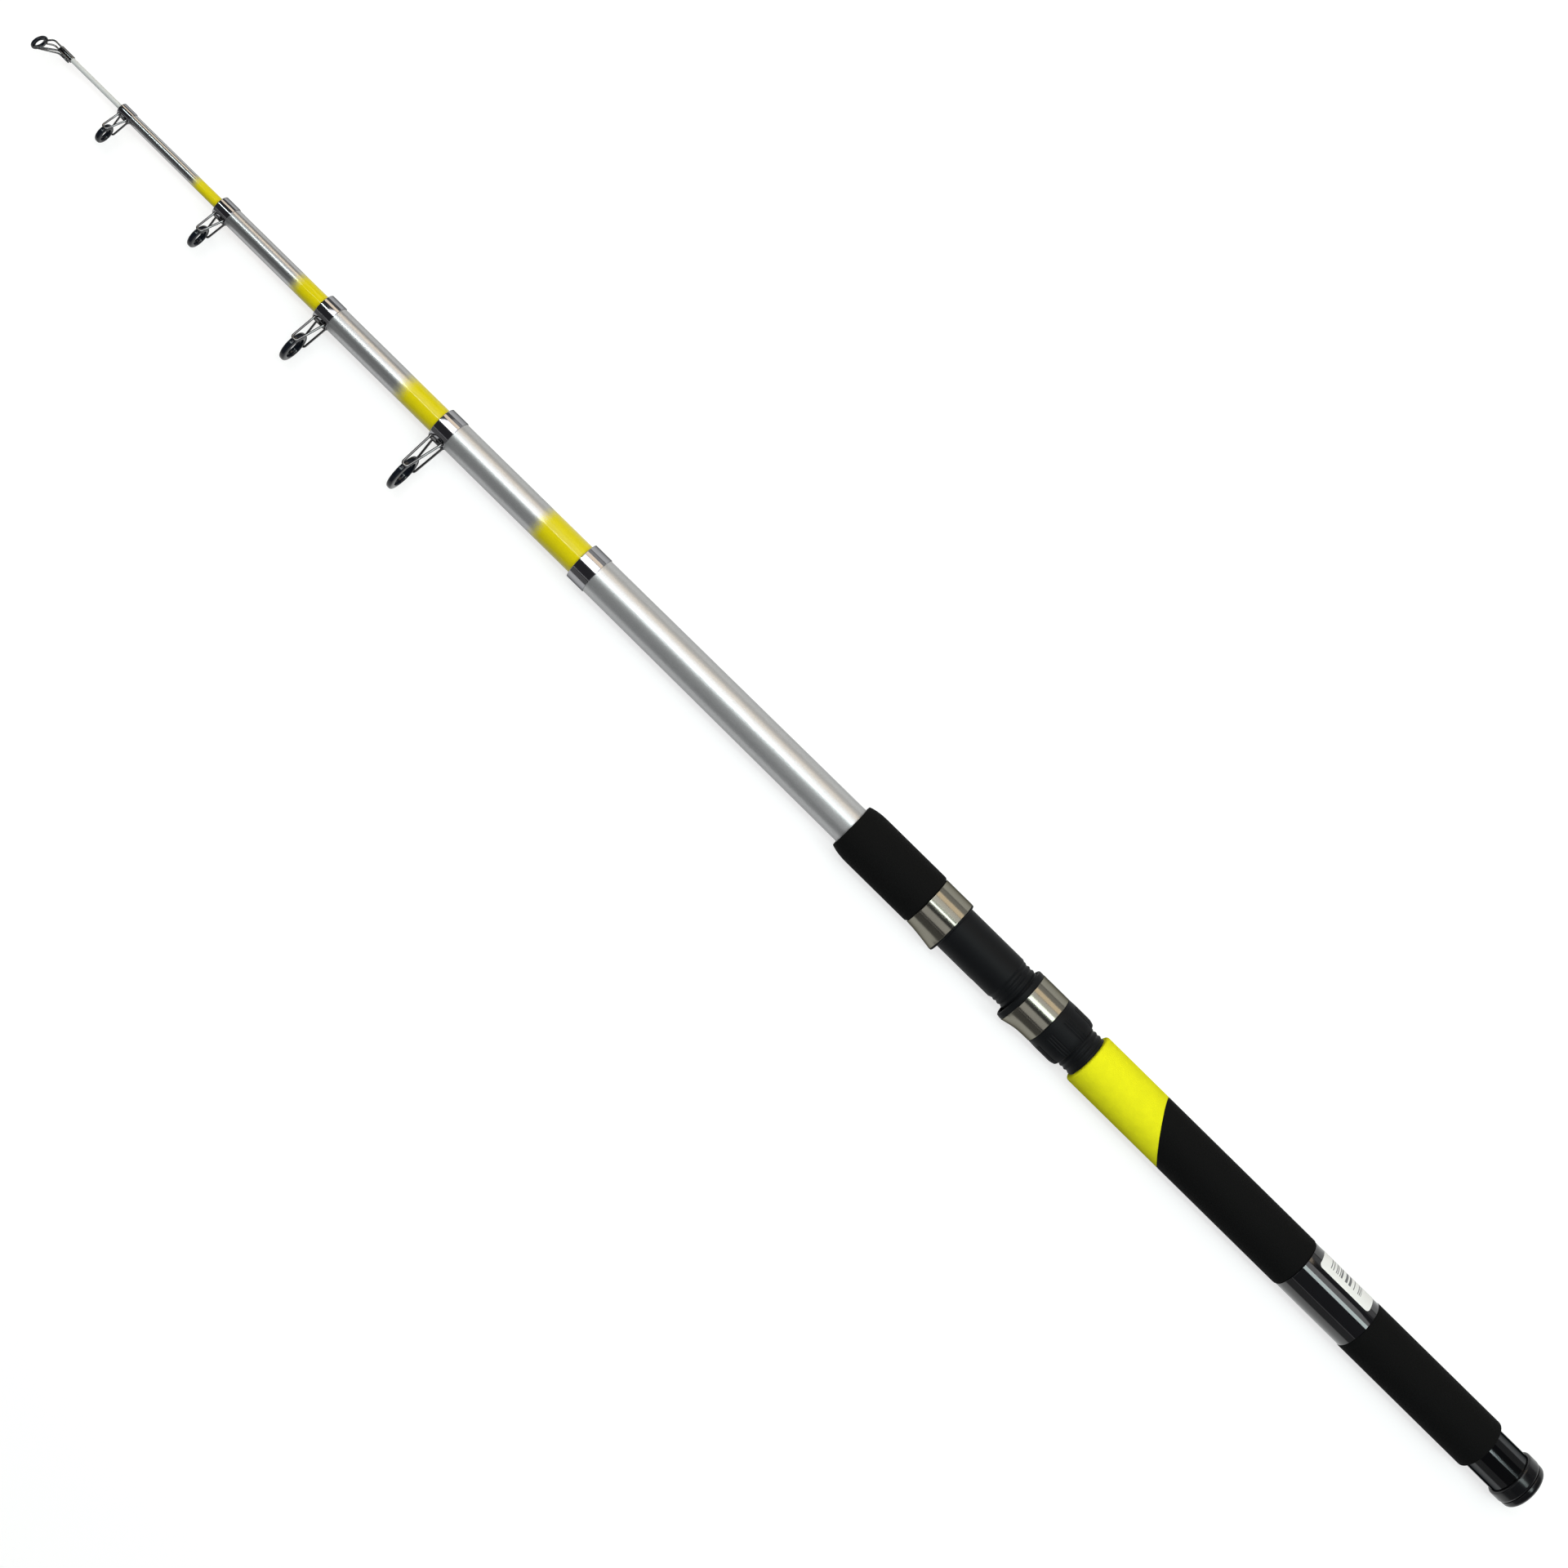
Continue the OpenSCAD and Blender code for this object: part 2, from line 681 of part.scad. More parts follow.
module sliding_hood_liner() {
    inside = hood_shell_t + bond;
    back = sliding_reach_at(sliding_end);
    pocket_end = sliding_lip_x - pocket_l;
    color(black)
        turned_to() {
            difference() {
                union() {
                    hood_form(sliding_end, sliding_shell_x + bond, back, sliding_reach, inside);
                    hood_form(sliding_shell_x + bond, sliding_lip_x, sliding_reach, sliding_reach - lip_drop, lip_inset);
                }
                bar(hood_bore_r, sliding_end - over, sliding_lip_x + over);
                bulge(pocket_end, sliding_lip_x + over, sliding_reach - pocket_taper, sliding_reach,
                      bulge_r - inside - liner_t);
            }
            translate([key_x - key_l, thread_r - key_depth, -key_w / 2])
                cube([key_l, hood_bore_r + key_root - thread_r + key_depth, key_w]);
        }
}

module lock_nut() {
    r = nut_d / 2;
    color(black)
        intersection() {
            turned([
                [nut_bore_r, nut_end], [r - nut_edge_drop, nut_end], [r, nut_end + nut_edge_l],
                [r, nut_x], [nut_bore_r, nut_x]
            ]);
            translate([nut_end - over, 0, 0])
                rotate([0, 90, 0])
                    linear_extrude(height = nut_l + 2 * over)
                        difference() {
                            circle(r = r + over);
                            for (g = [0 : groove_groups - 1], s = [-1, 0, 1])
                                rotate((g + 0.5) * 360 / groove_groups + s * groove_step)
                                    translate([r - groove_d, -groove_w / 2])
                                        square([groove_d + 2 * over, groove_w]);
                        }
        }
}

module rear_grip_yellow() {
    color(yellow)
        difference() {
            rear_grip_tube();
            behind_joint(butt_joint / 2);
        }
}

module rear_grip_black() {
    color(foam_black)
        intersection() {
            rear_grip_tube();
            behind_joint(-butt_joint / 2);
        }
}

module hard_sleeve() {
    r = sleeve_d / 2;
    rear = lower_grip_x + butt_joint;
    front = sleeve_x - butt_joint;
    color(black)
        turned([
            [blank_r(rear) + bond, rear], [r, rear], [r, front], [blank_r(front) + bond, front]
        ]);
}

module lower_grip() {
    r = lower_grip_d / 2;
    e = grip_edge_r;
    rear = lower_grip_end;
    front = lower_grip_x - butt_joint;
    color(foam_black)
        turned(concat(
            [[blank_r(rear) + bond, rear]],
            [for (p = round_pts(0, 0, 1, -90, 0)) [r - e + e * p[0], rear + lower_edge_l * (1 + p[1])]],
            [[r, front], [blank_r(front) + bond, front]]
        ));
}

module butt_insert() {
    r = flange_d / 2;
    e = flange_edge_r;
    color(black)
        turned(concat(
            [[insert_bore_r, flange_end]],
            round_pts(r - e, flange_end + e, e, -90, 0),
            round_pts(r - e, blank_end - bond - e, e, 0, 90),
            [[insert_r, blank_end - bond], [insert_r, blank_end + insert_l], [insert_bore_r, blank_end + insert_l]]
        ));
}

module cap_pad() {
    color(foam_black)
        bar(pad_r, spigot_x + bond, pad_x);
}

module butt_cap() {
    r = cap_d / 2;
    e = cap_edge_r;
    front = flange_end - butt_joint;
    dome_r = r - e * (1 - cos(dome_meet));
    dome_x = cap_end + cap_crown;
    edge_x = dome_x + e * sin(dome_meet);
    color(black) {
        turned(concat(
            [for (i = [0 : 6]) let (s = i / 6) [dome_r * s, cap_end + cap_crown * s * s]],
            round_pts(r - e, edge_x, e, -dome_meet, 0),
            round_pts(r - cap_rim_r, front - cap_rim_r, cap_rim_r, 0, 90),
            [[0, front]]
        ));
        bar(spigot_r, front - over, spigot_x);
    }
}

module section_2_blank() {
    color(silver)
        section_blank(s2_x, s2_collar_l, s2_l, s2_r, s2_base_r, s2_bore_r);
}

module section_2_collar() {
    color(chrome)
        mouth_collar(s2_collar_x, s2_x, s2_r, s2_bore_r);
}

module guide_2_frame() {
    color(chrome)
        guide_frame(s2_collar_x, s2_x, s2_r + bond + collar_wall, s2_guide_h, s2_ring_d, s2_ring_l, s2_wire_d);
}

module guide_2_ring() {
    color(black)
        guide_ring(s2_collar_x, s2_x, s2_guide_h, s2_ring_d, s2_ring_bore, s2_ring_l);
}

module section_3_blank() {
    color(silver)
        section_blank(s3_x, s3_collar_l, s3_l, s3_r, s3_base_r, s3_bore_r);
}

module section_3_collar() {
    color(chrome)
        mouth_collar(s3_collar_x, s3_x, s3_r, s3_bore_r);
}

module guide_3_frame() {
    color(chrome)
        guide_frame(s3_collar_x, s3_x, s3_r + bond + collar_wall, s3_guide_h, s3_ring_d, s3_ring_l, s3_wire_d);
}

module guide_3_ring() {
    color(black)
        guide_ring(s3_collar_x, s3_x, s3_guide_h, s3_ring_d, s3_ring_bore, s3_ring_l);
}

module section_4_blank() {
    color(silver)
        section_blank(s4_x, s4_collar_l, s4_l, s4_r, s4_base_r, s4_bore_r);
}

module section_4_collar() {
    color(chrome)
        mouth_collar(s4_collar_x, s4_x, s4_r, s4_bore_r);
}

module guide_4_frame() {
    color(chrome)
        guide_frame(s4_collar_x, s4_x, s4_r + bond + collar_wall, s4_guide_h, s4_ring_d, s4_ring_l, s4_wire_d);
}

module guide_4_ring() {
    color(black)
        guide_ring(s4_collar_x, s4_x, s4_guide_h, s4_ring_d, s4_ring_bore, s4_ring_l);
}

module section_5_blank() {
    color(silver)
        section_blank(s5_x, s5_collar_l, s5_l, s5_r, s5_base_r, s5_bore_r);
}

module section_5_collar() {
    color(chrome)
        mouth_collar(s5_collar_x, s5_x, s5_r, s5_bore_r);
}

module guide_5_frame() {
    color(chrome)
        guide_frame(s5_collar_x, s5_x, s5_r + bond + collar_wall, s5_guide_h, s5_ring_d, s5_ring_l, s5_wire_d);
}

module guide_5_ring() {
    color(black)
        guide_ring(s5_collar_x, s5_x, s5_guide_h, s5_ring_d, s5_ring_bore, s5_ring_l);
}

module tip_blank() {
    base = ferrule_end - tip_l;
    color(glass)
        turned([
            [0, base], [tip_base_r, base], [tip_r, ferrule_x],
            [tip_r, ferrule_end - collar_lip - bond], [0, ferrule_end - collar_lip - bond]
        ]);
}

module tip_ferrule() {
    r = tip_r + bond + ferrule_wall;
    edge = ferrule_wall * collar_edge_share;
    color(chrome)
        turned([
            [tip_r + bond, ferrule_x], [r, ferrule_x], [r, ferrule_end - edge], [r - edge, ferrule_end],
            [0, ferrule_end], [0, ferrule_end - collar_lip], [tip_r + bond, ferrule_end - collar_lip]
        ]);
}

// Point of the tip ring's rear face at height h from the ring's centre, set back for the wire
function tip_ring_back(h, z) =
    let (back = tip_ring_l / 2 + bond + tip_wire_d * bend_swell / 2)
    [tip_ring_x + h * sin(tip_ring_lean) - back * cos(tip_ring_lean),
     tip_ring_h + h * cos(tip_ring_lean) + back * sin(tip_ring_lean),
     z];

module tip_frame() {
    r = tip_r + bond + ferrule_wall;
    off = r + bond + tip_wire_d * bend_swell / 2;
    rim = (tip_ring_d + tip_ring_bore) / 4;
    foot = ferrule_x + tip_foot_inset;
    y = off * cos(brace_angle);
    color(chrome)
        turned_to(tip_turn) {
            for (side = [-1, 1]) {
                z = side * off * sin(brace_angle);
                arm = [ferrule_end + arm_bend_ahead, 0, side * off];
                brace = [ferrule_end - brace_bend_back, y, z];
                wire([foot, 0, side * off], arm, tip_wire_d);
                bend(arm, tip_wire_d);
                wire(arm, tip_ring_back(-rim, side * arm_spread), tip_wire_d);
                wire([foot, y, z], brace, tip_wire_d);
                bend(brace, tip_wire_d);
                wire(brace, tip_ring_back(rim, side * brace_spread), tip_wire_d);
            }
        }
}

module tip_ring() {
    color(black)
        turned_to(tip_turn)
            translate([tip_ring_x, tip_ring_h, 0])
                rotate([0, 0, -tip_ring_lean])
                    line_ring(tip_ring_d, tip_ring_bore, tip_ring_l);
}

butt_blank();
butt_collar();
fore_grip();
seat_barrel();
fixed_hood_shell();
fixed_hood_liner();
sliding_hood_shell();
sliding_hood_liner();
lock_nut();
rear_grip_yellow();
rear_grip_black();
hard_sleeve();
lower_grip();
butt_insert();
cap_pad();
butt_cap();
section_2_blank();
section_2_collar();
guide_2_frame();
guide_2_ring();
section_3_blank();
section_3_collar();
guide_3_frame();
guide_3_ring();
section_4_blank();
section_4_collar();
guide_4_frame();
guide_4_ring();
section_5_blank();
section_5_collar();
guide_5_frame();
guide_5_ring();
tip_blank();
tip_ferrule();
tip_frame();
tip_ring();
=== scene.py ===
"""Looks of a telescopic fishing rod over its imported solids. Lengths are in mm until a mesh is made."""

import math

import bpy
import numpy as np
from bpy.props import FloatProperty, FloatVectorProperty, PointerProperty
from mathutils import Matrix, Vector


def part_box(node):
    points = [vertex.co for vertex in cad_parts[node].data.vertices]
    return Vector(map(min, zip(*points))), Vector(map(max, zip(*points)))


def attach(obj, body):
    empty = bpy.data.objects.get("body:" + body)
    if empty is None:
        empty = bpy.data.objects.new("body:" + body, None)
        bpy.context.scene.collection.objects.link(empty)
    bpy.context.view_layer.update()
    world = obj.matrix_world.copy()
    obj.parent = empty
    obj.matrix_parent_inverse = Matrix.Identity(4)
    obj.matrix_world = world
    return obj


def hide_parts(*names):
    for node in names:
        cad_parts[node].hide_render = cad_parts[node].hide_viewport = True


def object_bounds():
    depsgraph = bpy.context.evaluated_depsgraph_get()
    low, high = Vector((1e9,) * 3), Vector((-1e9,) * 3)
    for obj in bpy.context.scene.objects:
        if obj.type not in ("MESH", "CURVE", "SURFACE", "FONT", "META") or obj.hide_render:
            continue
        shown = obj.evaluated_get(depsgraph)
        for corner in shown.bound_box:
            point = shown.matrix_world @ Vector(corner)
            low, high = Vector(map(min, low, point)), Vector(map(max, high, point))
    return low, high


bl_info = {
    "name": "Telescopic fishing rod",
    "version": (1, 0, 0),
    "blender": (4, 5, 0),
    "location": "3D View > Sidebar > Rod",
    "description": "Builds the visible pieces of a telescopic fishing rod over its packed solids",
    "category": "Add Mesh",
}

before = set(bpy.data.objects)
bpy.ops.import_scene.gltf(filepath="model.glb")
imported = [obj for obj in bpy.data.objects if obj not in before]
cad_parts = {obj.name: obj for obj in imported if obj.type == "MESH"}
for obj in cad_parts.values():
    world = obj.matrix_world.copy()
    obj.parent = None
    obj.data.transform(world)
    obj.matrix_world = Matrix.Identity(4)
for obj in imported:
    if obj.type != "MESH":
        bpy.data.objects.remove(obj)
CAD_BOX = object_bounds()

MM = 0.001
TURN = 2 * math.pi

# Share of light that metals keep at grazing angles
GRAZING = (0.25, 0.25, 0.25, 1.0)

# Metallic, roughness and coat of black and yellow lacquer, coat of the silver, and drift of the spray in m
BLACK_FINISH = (1.0, 0.08, 0.0)
YELLOW_FINISH = (0.0, 0.36, 0.35)
SILVER_COAT = 0.4
PAINT_DRIFT = 0.0035

# Gap between glued pieces, walls of the collars and of the tip's ferrule, and thickness of their lips
BOND = 0.03
COLLAR_WALL = 0.4
FERRULE_WALL = 0.45
COLLAR_LIP = 0.6

# Bore of the butt at its mouth, growth of the bores toward the base, and sizes of the butt's insert
BUTT_BORE = 10.3
BORE_DRAFT = 0.5
INSERT_BORE = 11.04
INSERT_R = 12.24
INSERT_L = 20.0

# Cap of the butt: spigot length, depth of the dome and power of its curve
SPIGOT_L = 8.05
DOME_L = 4.8
DOME_POWER = 0.77

# Reel seat: hood and bulge radii, shell thickness, liner set-in, pocket, lip, reach of the bulges and barrel
HOOD_R = 15.7
BULGE_R = 10.5
SHELL_T = 0.6
LINER_INSET = SHELL_T + BOND
POCKET_R = BULGE_R - LINER_INSET - 1.0
POCKET_L = 14.0
LIP_INSET = 0.1
FIXED_REACH = (17.9, 15.0)
SLIDING_REACH = 18.0
SLIDING_SLOPE = math.tan(math.radians(14.8))
SEAT_R = 13.8

# Thread, key slot, key (station, height, length, thickness, width) and radius of the lock nut
THREAD_R = 13.35
THREAD_L = 61.0
SLOT_L = 50.9
SLOT_HALF = 2.0
KEY = (-38.6, 13.55, 12.0, 1.4, 3.6)
NUT_R = 15.9

# Oblique joint of the rear grip: station on the axis, slope toward the guides and slope toward the top
JOINT = (-134.85, -0.695, 0.35)

# Nose of the fore grip: radius at its end, length, length of its curve, and angle of its arc in degrees
NOSE_R = 14.5
NOSE_L = 12.0
NOSE_CURVE = 11.6
NOSE_ARC = 50

# Label on the sleeve: start angle, set-back, corner radius, lift, stripes along it and colour of its bars
LABEL_TURN = math.radians(121)
LABEL_BACK = 6.1
LABEL_CORNER = 2.2
LABEL_LIFT = 0.07
LABEL_STRIPES = 70.0
LABEL_INK = (0.12, 0.12, 0.13)

# Section number: bore, guide height, ring diameter, ring bore, ring length, wire diameter, paint fade
SECTIONS = {
    2: (8.50, 34.0, 23.0, 15.8, 4.0, 1.4, (334.0, 343.0)),
    3: (6.85, 26.9, 18.9, 12.2, 4.0, 1.3, (437.5, 448.5)),
    4: (4.80, 20.5, 14.6, 8.8, 3.6, 1.2, (520.5, 529.0)),
    5: (2.45, 16.4, 11.9, 6.6, 3.4, 1.1, (599.5, 606.5)),
}

# Guide feet: saddle thickness, half angles of saddle and feet, sink in the saddle and set-in
SADDLE_T = 0.6
SADDLE_ANGLE = math.radians(38)
FOOT_ANGLE = math.radians(28.5)
FOOT_SINK = 0.36
FOOT_INSET = 1.1
BEND_SWELL = 1.08

# Hairpin width as a share of the ring's length, and set-off of the ring ahead of the collar's middle
CLASP_SHARE = 0.85
RING_AHEAD = 1.5

# Tip guide: ring station, height, diameter, bore, length, lean and wire diameter
TIP_RING = (716.1, 6.2, 10.0, 5.0, 1.7, math.radians(14), 1.0)

# Turn of the tip guide about the rod, angle of its braces, and half spreads of arms and braces at the ring
TIP_TURN = math.radians(22)
BRACE_ANGLE = math.radians(35)
ARM_SPREAD = 1.6
BRACE_SPREAD = 0.45

# Studio paper: radii of its flat part and curve, wall height, painted shade of the wall (share of glow and
# grey left up the wall), rise of that painted shade, and grey
PAPER_R = 3.4
PAPER_CURVE = 1.2
PAPER_TOP = 2.8
WALL_PAINTED_SHADE = 0.25
PAINTED_SHADE_RISE = 0.25
PAPER_GREY = 0.38

# Tints of the lamps
COOL = (0.86, 1.0, 0.98)
WARM = (1.12, 0.93, 0.7)


def length_prop(label, about, default):
    """Property that holds a length."""
    return FloatProperty(name=label, description=about, default=default, unit="LENGTH")


def colour_prop(label, about, default):
    """Property that holds a colour."""
    return FloatVectorProperty(name=label, description=about, default=default, subtype="COLOR", min=0, max=1)


def glow_prop(label, about, default):
    """Property that holds the brightness of a lamp or of the floor."""
    return FloatProperty(name=label, description="Brightness of the " + about, default=default)


class RodSizes(bpy.types.PropertyGroup):
    """Fine sizes of the rod's visible pieces."""

    thread_pitch: length_prop("Thread pitch", "Rise of the seat's thread in one turn", 0.003)
    thread_depth: length_prop("Thread depth", "Depth of the seat's thread", 0.0006)
    groove_depth: length_prop("Groove depth", "Depth of the lock nut's grip grooves", 0.00034)
    hood_fillet: length_prop("Hood fillet", "Softness of the line between hood and bulge", 0.0009)
    label_length: length_prop("Label length", "Length of the film label on the sleeve", 0.0366)
    label_width: length_prop("Label width", "Width of the film label round the sleeve", 0.026)
    braze: length_prop("Braze", "Swell of the wires where they are brazed on", 0.00035)


class RodColours(bpy.types.PropertyGroup):
    """Colours of the rod's finishes."""

    silver: colour_prop("Silver lacquer", "Lacquer of the tubes", (0.43, 0.43, 0.435))
    yellow: colour_prop("Yellow lacquer", "Painted bands of the sections", (0.66, 0.56, 0.003))
    black_paint: colour_prop("Black lacquer", "Butt end of the thickest tube", (0.07, 0.072, 0.074))
    chrome: colour_prop("Chrome", "Collars at the mouths", (0.32, 0.32, 0.335))
    # Wire chrome is the collars' chrome made darker: painted shade on the guide frames, tip frame and ferrule
    wire: colour_prop("Wire chrome", "Guide frames, tip frame and ferrule", (0.17, 0.168, 0.17))
    steel: colour_prop("Hood steel", "Steel shells of the reel seat", (0.22, 0.21, 0.175))
    foam_black: colour_prop("Black foam", "Black grips", (0.0055, 0.0055, 0.0055))
    foam_yellow: colour_prop("Yellow foam", "Yellow part of the rear grip", (0.8, 0.78, 0.012))
    plastic: colour_prop("Seat plastic", "Barrel, liners and nut", (0.006, 0.0065, 0.0075))
    gloss: colour_prop("Gloss black", "Sleeve, insert and cap", (0.006, 0.006, 0.007))
    ring: colour_prop("Ring black", "Ceramic rings", (0.006, 0.008, 0.013))
    glass: colour_prop("Tip glass fibre", "Solid tip", (0.6, 0.61, 0.6))
    label: colour_prop("Label film", "Label on the sleeve", (0.82, 0.82, 0.81))
    rubber: colour_prop("Pad rubber", "Pad inside the butt", (0.02, 0.02, 0.02))


class RodStage(bpy.types.PropertyGroup):
    """Camera and lamps."""

    camera_at: FloatVectorProperty(
        name="Camera", description="Place of the camera", default=(0.1453, 0.0094, 1.222),
        subtype="TRANSLATION")
    camera_turn: FloatProperty(
        name="Camera turn", description="Turn of the camera about the vertical", default=math.radians(224.52),
        subtype="ANGLE")
    lens: FloatProperty(
        name="Lens", description="Focal length on a 36 mm sensor", default=51.55)
    softbox: glow_prop("Softbox", "large soft lamp over the front sections", 3.2)
    shelf: glow_prop("Shelf", "soft lamp over the grips", 1.4)
    strip: glow_prop("Strip lamp", "narrow lamp over the front", 12.0)
    tube: glow_prop("Tube lamp", "lamp over the butt", 7.0)
    apron: glow_prop("Apron", "warm lamp below the softbox", 1.9)
    wing: glow_prop("Wing", "dim lamp on the side away from the guides", 0.4)
    card: glow_prop("Card", "small card over the reel seat", 1.0)
    line: glow_prop("Line", "thin lamp on the side of the guides", 0.6)
    fill: glow_prop("Fill", "fill, which leaves no reflection", 0.4)
    floor: glow_prop("Floor glow", "floor as camera and reflections see it", 0.7)


def extent(node):
    """Rear station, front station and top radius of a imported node, in mm."""
    low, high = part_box(node)
    return low[0] / MM, high[0] / MM, high[2] / MM


def blank_radius(x):
    """Outside radius of the butt tube at station x: a straight taper from its base to its collar."""
    base = extent("butt_blank")
    collar = extent("butt_collar")
    mouth = collar[2] - COLLAR_WALL - BOND
    return mouth + (base[2] - mouth) * (collar[0] - x) / (collar[0] - base[0])


def eased(corners, reach, steps=6, closed=False):
    """Polyline with parabolic corners: (1-t)^2 a + 2t(1-t) p + t^2 b, a and b set back by reach from p."""
    points = np.asarray(corners, float)
    reaches = np.broadcast_to(np.asarray(reach, float), len(points))
    t = np.linspace(0, 1, steps)[:, None]
    out = []
    for i, p in enumerate(points):
        if reaches[i] <= 0 or (not closed and i in (0, len(points) - 1)):
            out.append(p[None])
            continue
        back = points[i - 1] - p
        ahead = points[(i + 1) % len(points)] - p
        back_l, ahead_l = np.linalg.norm(back), np.linalg.norm(ahead)
        set_back = min(reaches[i], 0.49 * back_l, 0.49 * ahead_l)
        a = p + back * set_back / back_l
        b = p + ahead * set_back / ahead_l
        out.append((1 - t) ** 2 * a + 2 * t * (1 - t) * p + t * t * b)
    return np.concatenate(out)


def chain(*parts):
    """Arrays joined end to end."""
    return np.concatenate(parts)


def angles(count):
    """Equal steps round the rod axis."""
    return TURN * np.arange(count) / count


def around(x, r, angle):
    """Grid of points from stations x, radii r and angles a: y = r cos a, z = r sin a."""
    x, r, angle = np.broadcast_arrays(x, r, angle)
    return np.stack([x, r * np.cos(angle), r * np.sin(angle)], axis=-1)


def turned(profile, columns=128):
    """Profile of [station, radius] turned about the rod axis: y = r cos a, z = r sin a."""
    x, r = np.asarray(profile, float).T[:, :, None]
    return around(x, r, angles(columns))


def tipped(points):
    """Points turned about the rod axis by the tip guide's turn: y cos t - z sin t and y sin t + z cos t."""
    x, y, z = np.moveaxis(np.asarray(points, float), -1, 0)
    c, s = math.cos(TIP_TURN), math.sin(TIP_TURN)
    return np.stack([x, y * c - z * s, y * s + z * c], axis=-1)


def unit(vector):
    """Vector scaled to a length of 1."""
    return vector / np.linalg.norm(vector)


def wire(path, radius, sides=16):
    """Circle carried along a path in a plane of normal n: p + r (cos b n + sin b (t x n)), ends rounded."""
    path = np.asarray(path, float)
    radius = np.broadcast_to(np.asarray(radius, float), len(path))
    rise = np.radians([80, 62, 42, 21])
    first = path[0] + unit(path[0] - path[1]) * radius[0] * np.sin(rise)[:, None]
    last = path[-1] + unit(path[-1] - path[-2]) * radius[-1] * np.sin(rise)[::-1, None]
    line = chain(first, path, last)
    size = chain(radius[0] * np.cos(rise), radius, radius[-1] * np.cos(rise)[::-1])
    tangent = np.gradient(line, axis=0)
    tangent /= np.linalg.norm(tangent, axis=1, keepdims=True)
    normal = unit(np.cross(path[-1] - path[0], path[len(path) // 2] - path[0]))
    side = np.cross(tangent, normal)
    b = angles(sides)
    ring = np.cos(b)[None, :, None] * normal + np.sin(b)[None, :, None] * side[:, None, :]
    return line[:, None, :] + size[:, None, None] * ring


def skin(points, ring=True):
    """Faces over a grid of points [row, column, xyz] whose columns close on themselves.

    A ring grid closes its rows too, and otherwise a fan to the middle closes each end row.
    The sign of the volume decides the winding, so that the faces point outwards.
    """
    rows, columns = points.shape[:2]
    index = np.arange(rows * columns).reshape(rows, columns)
    if ring:
        index = chain(index, index[:1])
    index = np.concatenate([index, index[:, :1]], axis=1)
    quads = np.stack([index[:-1, :-1], index[:-1, 1:], index[1:, 1:], index[1:, :-1]], axis=-1).reshape(-1, 4)
    verts = points.reshape(-1, 3)
    fans = np.empty((0, 3), int)
    if not ring:
        middle = np.full(columns, len(verts))
        verts = chain(verts, points[[0, -1]].mean(axis=1))
        first = np.stack([index[0, 1:], index[0, :-1], middle], axis=-1)
        last = np.stack([index[-1, :-1], index[-1, 1:], middle + 1], axis=-1)
        fans = chain(first, last)
    triangles = chain(quads[:, :3], quads[:, [0, 2, 3]], fans)
    a, b, c = np.moveaxis(verts[triangles], 1, 0)
    if np.einsum("ij,ij->", a, np.cross(b, c)) < 0:
        quads, fans = quads[:, ::-1], fans[:, ::-1]
    return verts, quads, fans


def joined(*skins):
    """Several skins as one."""
    verts, quads, fans = zip(*skins)
    starts = np.cumsum([0] + [len(v) for v in verts])
    faces = [np.concatenate([f + n for f, n in zip(kind, starts)]) for kind in (quads, fans)]
    return np.concatenate(verts), *faces


def mesh_object(name, verts, faces, material):
    """Smooth mesh object at the origin, from points in mm and lists of their numbers."""
    mesh = bpy.data.meshes.new(name)
    mesh.from_pydata((verts * MM).tolist(), [], faces)
    mesh.shade_smooth()
    mesh.materials.append(bpy.data.materials[material])
    made = bpy.data.objects.new(name, mesh)
    bpy.context.scene.collection.objects.link(made)
    return made


def piece(name, made, material, body, slot, *nodes, sharp=40):
    """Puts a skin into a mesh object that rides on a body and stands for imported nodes."""
    verts, quads, fans = made
    made_piece = mesh_object(name, verts, quads.tolist() + fans.tolist(), material)
    made_piece.data.set_sharp_from_angle(angle=math.radians(sharp))
    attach(made_piece, body)
    if nodes:
        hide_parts(*nodes)
    return made_piece


def lathe(name, corners, rounds, *rest, columns=128, steps=6, ring=True):
    """Piece turned from an outline of corners [station, radius], each eased by its own reach."""
    outline = eased(corners, rounds, steps, closed=ring)
    return piece(name, skin(turned(outline, columns), ring), *rest)


def node(tree, kind, inputs=(), **settings):
    """Adds a shader node of a kind, with its settings and its inputs as values or links."""
    made = tree.nodes.new("ShaderNode" + kind)
    for key, value in settings.items():
        setattr(made, key, value)
    for key, value in dict(inputs).items():
        if isinstance(value, bpy.types.NodeSocket):
            tree.links.new(value, made.inputs[key])
        else:
            made.inputs[key].default_value = value
    return made


def calc(operation, *values, clamp=False):
    """Adds a maths node on values or sockets, and gives its result."""
    tree = values[0].id_data
    return node(tree, "Math", enumerate(values), operation=operation, use_clamp=clamp).outputs[0]


def noise(place, scale, detail):
    """Adds a noise texture, and gives its value."""
    return node(place.id_data, "TexNoise", {"Vector": place, "Scale": scale, "Detail": detail}).outputs[0]


def send(sockets, **values):
    """Links values into named sockets, with _ for a space in the name."""
    for key, value in values.items():
        value.id_data.links.new(value, sockets[key.replace("_", " ")])


def group(name, control, default, outputs):
    """Starts a node group with a vector and one control: gives its tree, inner inputs and inner outputs."""
    tree = bpy.data.node_groups.new(name, "ShaderNodeTree")
    tree.interface.new_socket("Vector", in_out="INPUT", socket_type="NodeSocketVector")
    kind = "NodeSocketVector" if isinstance(default, tuple) else "NodeSocketFloat"
    tree.interface.new_socket(control, in_out="INPUT", socket_type=kind).default_value = default
    for label in outputs:
        tree.interface.new_socket(label, in_out="OUTPUT", socket_type="NodeSocketFloat")
    return tree, tree.nodes.new("NodeGroupInput").outputs, tree.nodes.new("NodeGroupOutput").inputs


